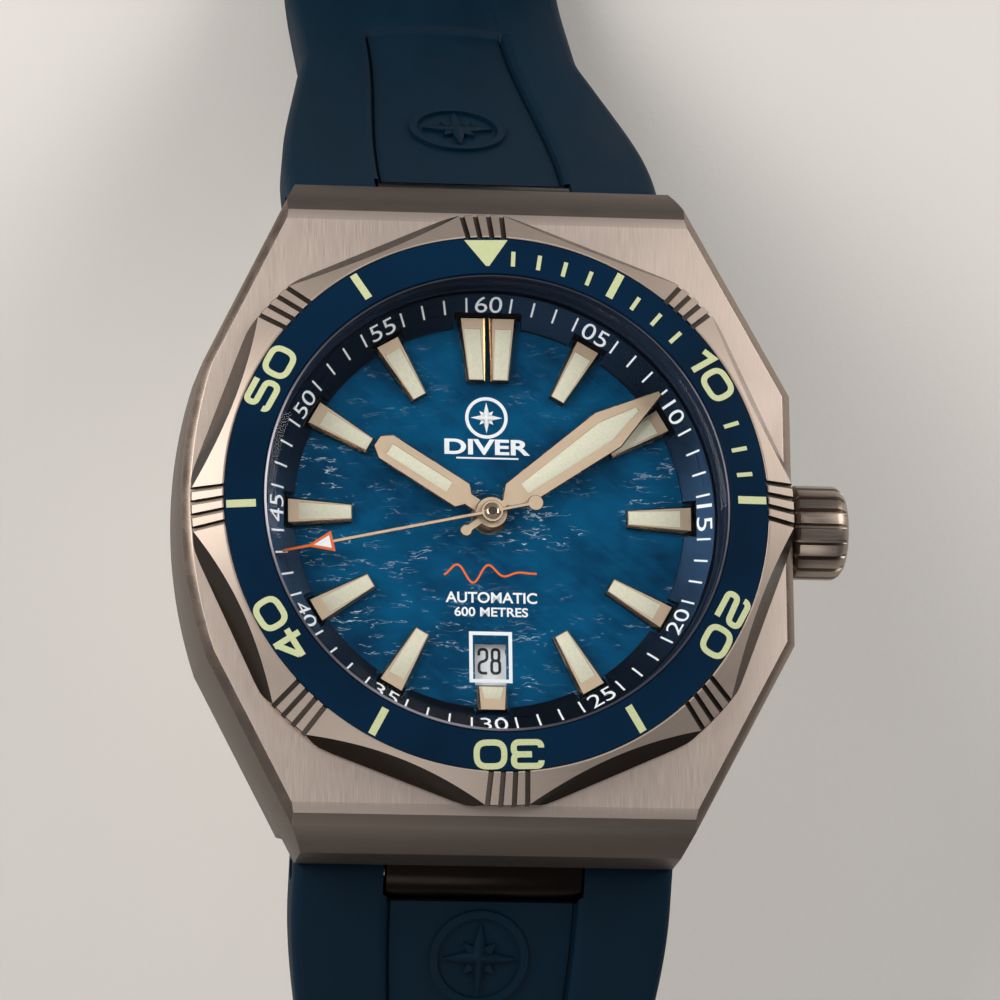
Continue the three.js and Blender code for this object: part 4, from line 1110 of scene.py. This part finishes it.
def dial_print():
    """The emblem, the words, the orange wave, and the frame of the date window."""
    emblem_x, emblem_y, emblem_r = -0.08, 7.35, 1.42
    star = emblem(lambda x, y, height: on_dial(x + emblem_x, y + emblem_y, height), emblem_r, 0.03)
    star.piece("dial_emblem", WHITE_PRINT, "case", "date_white")
    lettering("dial_word", "DIVER", 6.2, 1.15, (-0.05, 5.18), 0.028)
    dial_line("dial_rule", [(-2.3, 4.35), (2.2, 4.35)], 0.12)
    lettering("dial_automatic", "AUTOMATIC", 6.6, 0.8, (0.1, -5.93), 0.018)
    lettering("dial_depth", "600 METRES", 5.3, 0.68, (0.08, -6.98), 0.018)

    wave_y, wave_height, wave_speed, wave_crest_x, wave_spread = -4.1, 0.75, 2.6, -1.2, 2.2
    crests = []
    for step in range(-33, 35):
        x = step / 10
        fading = math.exp(-(((x - wave_crest_x) / wave_spread) ** 2))
        crests.append((x, wave_y + wave_height * math.cos(wave_speed * x) * fading))
    dial_line("dial_wave", crests, 0.15, material=ORANGE)

    half_w, low, high = 1.42, DATE_Y - 1.74, DATE_Y + 1.74
    corners = [(-half_w, low), (half_w, low), (half_w, high), (-half_w, high)]
    dial_line("date_frame", corners, 0.26, 0.04, closed=True)


def date_numbers():
    """The 31 numbers of the date disc, turned so that 28 shows at 6 o'clock."""
    sheets = []
    shown, count, number_r = 28, 31, 10.42
    top = box_mm("date_wheel")[1].z
    for day in range(1, count + 1):
        sheet = Sheet(on_cone(180 + (day - shown) * 360 / count, lambda radius: top), 0.02)
        sheet.digits(str(day), 0.78, 1.95, 0.2, 0.13, (0, number_r), flip=True, radius=0.4)
        sheets.append(sheet)
    many("date_numbers", sheets, BLACK_PRINT, "date_wheel", "date_white")


dial_print()
date_numbers()

# ---- hands ----

BED_DEEP = 0.09
FILL_LEVELS = ((0.01, -0.085), (0.01, -0.035), (0.06, -0.01))  # how far in, and how high over the hand's top


def hand(name, right, low, hub_r, bore_r, lume=None, tail=None, edge=0.07):
    """A bevelled plate with a hub, a bore and a sunk lume bed. right is its right edge, from the tail out."""
    node = name + "_hand"
    high = box_mm(node)[1].z
    turn = spin(-HAND_DEGS[name])

    def level(half, inward, z):
        outline = [Vector(p) for p in half] + [Vector((-x, y)) for x, y in reversed(half)]
        return [(p.x, p.y, z) for p in inset(outline, inward)]

    levels = ((edge * 0.5, low), (0, low + edge * 0.6), (0, high - edge), (edge, high))
    blade = slab(node + "_fine", [level(right, inward, z) for inward, z in levels], CHAMPAGNE)
    for radius, y in [(hub_r, 0.0), tail] if tail else [(hub_r, 0.0)]:
        lower = [(0, low), (radius - edge, low), (radius, low + edge)]
        disc = turned("disc", lower + [(radius, high - edge), (radius - edge, high), (0, high)], None, 64)
        disc.data.transform(Matrix.Translation((0, y * MM, 0)))
        carve(blade, [disc], "UNION")
    cuts = [rod(bore_r, low - 1, high + 1, 48)]
    if lume:
        cuts.append(slab("bed", [level(lume, 0, high - BED_DEEP), level(lume, 0, high + 0.5)]))
    carve(blade, cuts)
    shade(blade)
    # painted shade on the hand's bevels and sides
    paint(blade, CHAMPAGNE_EDGE_SHADE, lambda n, c: n.z < 0.9)
    blade.data.transform(turn)
    stand_in(blade, node)
    if lume:
        filling = [level(lume, inward, high + z) for inward, z in FILL_LEVELS]
        fill = slab(node + "_fine_lume", filling, LUME_HAND)
        fill.data.transform(turn)
        settle(fill, BODY_OF[node], sharp_deg=50)


hand(
    "hour", [(0.5, 0), (0.5, 1.9), (1.05, 2.4), (1.05, 8.9), (0.45, 9.7)], 9.34, 1.18, 1.02,
    lume=[(0.45, 3.5), (0.45, 8.6)],
)
hand(
    "minute", [(0.3, -2.3), (0.3, 1.2), (1.12, 2.07), (1.58, 10.6), (0.2, 15.4)], 9.76, 1.18, 0.67,
    lume=[(0.44, 3.0), (0.82, 10.4), (0.18, 13.3)], tail=(0.45, -2.3),
)
hand(
    "second", [(0.135, -3.2), (0.135, 11.75), (0.75, 11.75), (0.13, 13.5), (0.1, 15.4)], 10.2, 0.8, 0.3,
    tail=(0.57, -3.2), edge=0.04,
)


def second_hand_paint():
    """The orange arrow and tip, the white filling of the arrow, and the turned cap and post of the hub."""
    top = box_mm("second_hand")[1].z

    def place(x, y, height):
        return (*clock(y, HAND_DEGS["second"], x), top + height)

    orange = Sheet(place, 0.03)
    orange.stroke([(-0.62, 11.85), (0.62, 11.85), (0.0, 13.45)], 0.2, closed=True)
    orange.bar(0, 13.45, 15.35, 0.2, 0.16)
    orange.piece("second_hand_arrow", ORANGE, "second_hand", "champagne_steel")
    white = Sheet(place, 0.02)
    white.patch([(-0.5, 11.92), (0.5, 11.92), (0.0, 13.2)])
    white.piece("second_hand_arrow_fill", WHITE_PRINT, "second_hand", "champagne_steel")
    cap = [(0.28, -0.05), (0.62, -0.05), (0.62, 0.03), (0.55, 0.1), (0.42, 0.12), (0.34, 0.08), (0.28, 0.08)]
    post = [(0, -0.02), (0.2, -0.02), (0.22, 0.02), (0.16, 0.05), (0, 0.03)]
    for name, profile, material, facets in (("cap", cap, CHAMPAGNE_POLISH, 64), ("post", post, PIN_STEEL, 48)):
        piece = turned("second_hand_" + name, [(r, top + z) for r, z in profile], material, facets)
        settle(piece, "second_hand")


second_hand_paint()

# ---- crown ----

CROWN = Sizes(
    flutes=18, flute_steps=20, flute_deep=0.36, flute_at=0.78, bore_r=1.75, bore_deep=1.8, polish=0.35,
)


def crown():
    """A fluted crown: flat lands between square flutes, a rounded polished end, and a socket for its tube."""
    low, high = box_mm("crown")
    inner, outer = low.x, high.x
    radius = (high.y - low.y) / 2
    axis_z = (low.z + high.z) / 2
    stations = [  # along the axis: the place, the radius, and how much of the flutes' depth is cut there
        (inner + CROWN.bore_deep, CROWN.bore_r, 0), (inner, CROWN.bore_r, 0), (inner, radius - 0.55, 0),
        (inner + 0.06, radius - 0.42, 0.2), (inner + 0.3, radius - 0.06, 0.9), (inner + 0.4, radius, 1),
        (outer - 1.05, radius, 1), (outer - 0.75, radius - 0.06, 0.95), (outer - 0.45, radius - 0.28, 0.55),
        (outer - 0.28, radius - 0.5, 0), (outer - 0.16, radius - 0.66, 0), (outer - 0.16, radius - 0.8, 0),
        (outer - 0.1, radius - 0.95, 0), (outer - 0.01, radius - 1.2, 0), (outer, radius - 1.5, 0),
        (outer, 0.9, 0),
    ]
    count = CROWN.flutes * CROWN.flute_steps
    points, faces = [], []
    for x, r, share in stations:
        for i in range(count):
            away = abs((i % CROWN.flute_steps) / CROWN.flute_steps - CROWN.flute_at)
            groove = min(1.0, max(0.0, 2.5 - 15 * away))
            reach = r - CROWN.flute_deep * share * groove
            angle = 2 * math.pi * i / count
            points.append((x, reach * math.cos(angle), axis_z + reach * math.sin(angle)))
    last = (len(stations) - 1) * count
    for start in range(0, last, count):
        for i in range(count):
            a, b = start + i, start + (i + 1) % count
            faces.append([a, b, b + count, a + count])
    bore_end, front = len(points), len(points) + 1
    points += [(inner + CROWN.bore_deep, 0, axis_z), (outer, 0, axis_z)]
    for i in range(count):
        j = (i + 1) % count
        faces.append([i, j, bore_end])
        faces.append([last + i, last + j, front])
    body = bare_piece("crown_fine", points, faces, CROWN_STEEL_SHADED)
    paint(body, PIN_STEEL, lambda n, c: c.x > outer - CROWN.polish)
    stand_in(body, "crown", sharp_deg=35)


crown()

# ---- strap ----

BAR_Y, BAR_Z = 24.6, 2.25
EAR_R = 1.95
EAR_DEGS = (-82, -70, -58, -45, -30, -12, 5)
EAR_START = EAR_R * math.sin(math.radians(EAR_DEGS[0]))
UPPER = Sizes(side=1, slope=47, radius=22, drop=29.9, length=80, tip=0, emblem=10.8)
LOWER = Sizes(side=-1, slope=29, radius=60, drop=31.45, length=105, tip=7, emblem=6.0)
HOLES = Sizes(count=7, first=12, pitch=5.5, radius=1.1)
PIN_FROM_END = 1.75
PANEL_END = 27.0
PANEL_DEPTH = 0.55
STRAP = Sizes(
    case_half=13.7, waist_half=10.5, taper=0.4, tip_half=10.1, case_thick=3.9, end_thick=2.8,
    bar_r=2.3, bar_reach=7.25, pin_r=0.8, buckle_pin_r=0.75, through=20, seam=0.18, lining=0.35, rib_pitch=4.2,
)


def smooth(value):
    value = min(1.0, max(0.0, value))
    return value * value * (3 - 2 * value)


class StrapPath:
    """The middle line of a strap half: straight off the case, level in one arc, then flat on the floor."""

    def __init__(self, half):
        self.side = half.side
        self.slope = math.radians(half.slope)
        self.radius = half.radius
        self.straight = (half.drop - self.radius * (1 - math.cos(self.slope))) / math.sin(self.slope)
        self.bend = self.slope * self.radius
        self.total = half.length
        self.tip = half.tip
        self.centre_y = BAR_Y + self.straight * math.cos(self.slope) + self.radius * math.sin(self.slope)
        self.centre_z = BAR_Z - half.drop + self.radius

    def point(self, x, s, h):
        """The point at x across, s along and h outward from the middle line."""
        if s <= self.straight:
            y, z, turn = BAR_Y + s * math.cos(self.slope), BAR_Z - s * math.sin(self.slope), self.slope
        elif s <= self.straight + self.bend:
            turn = self.slope - (s - self.straight) / self.radius
            y, z = self.centre_y - self.radius * math.sin(turn), self.centre_z - self.radius * math.cos(turn)
        else:
            y, z, turn = self.centre_y + s - self.straight - self.bend, self.centre_z - self.radius, 0.0
        return (x, self.side * (y + math.sin(turn) * h), z + math.cos(turn) * h)

    def half_width(self, s):
        waist = STRAP.case_half + (STRAP.waist_half - STRAP.case_half) * smooth((s - 2) / 25)
        width = waist - STRAP.taper * min(1.0, max(0.0, (s - PANEL_END) / (self.total - PANEL_END)))
        start = self.total - self.tip
        if self.tip and s > start:
            width = STRAP.tip_half * math.sqrt(max(0.02, 1 - 0.9 * ((s - start) / self.tip) ** 2))
        return width

    def half_thickness(self, s):
        if s < 0.6:
            return EAR_R * math.cos(math.asin(max(-0.99, s / EAR_R)))
        thinned = min(1.0, max(0.0, (s - 6) / 30))
        return (STRAP.case_thick + (STRAP.end_thick - STRAP.case_thick) * thinned) / 2

    def matrix(self, s):
        """Takes a piece built about the origin (x across, y along, z outward) to the strap at s."""
        origin = Vector(self.point(0, s, 0))
        across = Vector((1, 0, 0))
        outward = (Vector(self.point(0, s, 1)) - origin).normalized()
        along = outward.cross(across) * self.side
        m = Matrix((across, along, outward)).transposed().to_4x4()
        m.translation = origin
        return m


def in_metres(place):
    """The same placing for a finished mesh."""
    place = place.copy()
    place.translation *= MM
    return place


def cross_rod(radius, reach, facets, place):
    """A cylinder across the strap, to cut with."""
    tool = rod(radius, -reach, reach, facets)
    tool.data.transform(Matrix.Rotation(math.pi / 2, 4, "Y"))
    tool.data.transform(in_metres(place))
    return tool


def strap_stations(half):
    """Where the sections are: close together round the bar, at the panel's end and at the tip."""
    stations = [EAR_R * math.sin(math.radians(d)) for d in EAR_DEGS]
    s = 0.6
    while s < half.length - 0.01:
        stations.append(s)
        if half.tip and s > half.length - half.tip:
            s += 0.35
        else:
            s += 0.18 if abs(s - PANEL_END) < 0.8 else 0.7
    return stations + [half.length]


def strap_section(path, s):
    """The loop round a strap half at s: a sunk panel between raised bands, rounded edges, a ribbed lining."""
    width, thick = path.half_width(s), path.half_thickness(s)
    before_end = 1 - smooth((s - PANEL_END + 0.25) / 0.5)
    deep = PANEL_DEPTH * before_end * smooth((s + 0.5) / 1.2)
    panel = min(7.2 - 1.9 * smooth(s / 26), width * 0.5)
    panel_h, seam_h = thick - deep, thick - deep - STRAP.seam * before_end
    lip_h = thick - (0.16 if deep > 0.1 else 0)
    right = [
        (0.0, panel_h), (panel * 0.5, panel_h), (panel - 0.5, panel_h), (panel - 0.26, panel_h - 0.02),
        (panel - 0.16, seam_h), (panel - 0.02, seam_h), (panel + 0.06, lip_h), (panel + 0.3, thick - 0.02),
        (panel + 0.7, thick), ((panel + width) / 2, thick),
    ]
    edge = min(0.8, width * 0.3, thick * 0.55) * (0.4 + 0.6 * smooth((s - EAR_START) / 2.0))
    for first_deg, centre_h in ((90, thick - edge), (0, edge - thick)):
        for step in range(6):
            a = math.radians(first_deg - 18 * step)
            right.append((width - edge + edge * math.cos(a), centre_h + edge * math.sin(a)))
    rib = 1.0 if (s % STRAP.rib_pitch) > 1.0 else 0.3
    lining = STRAP.lining * smooth((s - 4) / 2) * smooth((path.total - 6 - s) / 2)
    lining_h = lining * rib - thick
    inner = min(width - edge - 0.6, width - 2.2)
    right += [(inner, -thick), (inner - 0.35, lining_h), (inner * 0.5, lining_h), (0.0, lining_h)]
    bow = 4.0 * math.exp(-(((s - PANEL_END) / 5) ** 2))
    outline = right + [(-x, h) for x, h in reversed(right[1:-1])]
    return [path.point(x, s + bow * (0.35 - (x / width) ** 2), h) for x, h in outline]


def strap(node, half):
    """A strap half with bores for its bar, and either its row of holes or its slot and bore for the buckle."""
    path = StrapPath(half)
    whole = slab(node + "_fine", [strap_section(path, s) for s in strap_stations(half)], RUBBER)
    bar = Matrix.Translation((0, half.side * BAR_Y, BAR_Z))
    cuts = [cross_rod(STRAP.bar_r, STRAP.bar_reach, 56, bar), cross_rod(STRAP.pin_r, STRAP.through, 56, bar)]
    if half is LOWER:
        for i in range(HOLES.count):
            hole = rod(HOLES.radius, -4, 4, 32)
            hole.data.transform(in_metres(path.matrix(path.total - HOLES.first - HOLES.pitch * i)))
            cuts.append(hole)
    else:
        end = path.matrix(path.total - PIN_FROM_END)
        cuts.append(block((-1.6, -3.2, -4), (1.6, 4, 4), end))
        cuts.append(cross_rod(STRAP.buckle_pin_r, STRAP.through, 32, end))
    carve(whole, cuts)
    stand_in(whole, node, sharp_deg=38)

    def on_strap(x, y, height):
        s = half.emblem + y
        return path.point(x, s, path.half_thickness(s) - PANEL_DEPTH + height)

    emblem(on_strap, 3.3, 0.28).piece(node + "_fine_emblem", RUBBER, node, "strap_rubber")


strap("strap_upper", UPPER)
strap("strap_lower", LOWER)
for keeper in ("fixed_keeper", "free_keeper"):
    refined(keeper, RUBBER, width=0.45, segments=3, angle=30)

# ---- buckle ----

refined("buckle_frame", BUCKLE_STEEL, width=0.3, segments=3, angle=30)
refined("buckle_tongue", BUCKLE_STEEL, width=0.2, segments=3, angle=30)
refined("buckle_pin", PIN_STEEL, width=0.12, angle=30)

# ---- floor, light and camera ----


def floor():
    """A large pale sheet of paper just under the strap."""
    g = Graph("floor_paper")
    mottle = g.grain(0.02)
    g.set(Base_Color=g.mix(mottle, srgb(206, 204, 200), srgb(216, 214, 210)), Roughness=0.9)
    g.set(Normal=g.bump(g.grain(1.5), 0.02))
    half, z = 2500.0, CAD_BOX[0][2] / MM - 0.05
    corners = [(-half, -half, z), (half, -half, z), (half, half, z), (-half, half, z)]
    bare_piece("floor", corners, [[0, 1, 2, 3]], g.material)


def area_light(name, direction, distance_mm, size_mm, power, tint):
    """A softbox that faces the watch from a direction."""
    light = bpy.data.lights.new(name, "AREA")
    light.shape = "RECTANGLE"
    light.size, light.size_y = size_mm[0] * MM, size_mm[1] * MM
    light.energy = power
    light.color = tint
    obj = linked(name, light)
    away = Vector(direction).normalized()
    obj.location = away * distance_mm * MM
    obj.rotation_euler = away.to_track_quat("Z", "Y").to_euler()


WARM = (1.0, 0.96, 0.92)
WARM_FRONT = (1.0, 0.97, 0.94)

floor()
area_light("softbox_left", (-0.85, 0.35, 0.75), 420, (240, 340), 1.7, WARM)
area_light("softbox_right", (0.85, 0.45, 0.6), 420, (220, 340), 1.15, WARM)
area_light("softbox_front", (-0.3, -1.0, 0.8), 480, (380, 200), 0.4, WARM_FRONT)

world = bpy.data.worlds.new("studio")
world.use_nodes = True
sky = world.node_tree.nodes["Background"]
sky.inputs["Color"].default_value = (0.5, 0.5, 0.52, 1)
sky.inputs["Strength"].default_value = 0.46
bpy.context.scene.world = world
bpy.context.scene.view_settings.view_transform = "Standard"

VIEW = Sizes(
    azimuth=-29.936, elevation=73.286, roll=30.202, lens=302.31, distance=600,
    dial_z=10.2, right=0.5695, top=0.838,
)


def camera():
    """Looks down on the dial from the photograph's angle, from far off, so that it is nearly parallel."""
    azimuth, elevation, roll = (math.radians(d) for d in (VIEW.azimuth, VIEW.elevation, VIEW.roll))
    level = math.cos(elevation)
    back = Vector((math.sin(azimuth) * level, -math.cos(azimuth) * level, math.sin(elevation)))
    across = Vector((0, 0, 1)).cross(back).normalized()
    up = back.cross(across)
    right = across * math.cos(roll) + up * math.sin(roll)
    top = up * math.cos(roll) - across * math.sin(roll)
    data = bpy.data.cameras.new("camera")
    data.lens = VIEW.lens
    data.sensor_width = 36
    data.clip_start, data.clip_end = 0.01, 10
    obj = linked("camera", data)
    matrix = Matrix((right, top, back)).transposed().to_4x4()
    target = Vector((0, 0, VIEW.dial_z)) + right * VIEW.right + top * VIEW.top
    matrix.translation = (target + back * VIEW.distance) * MM
    obj.matrix_world = matrix
    bpy.context.scene.camera = obj


camera()
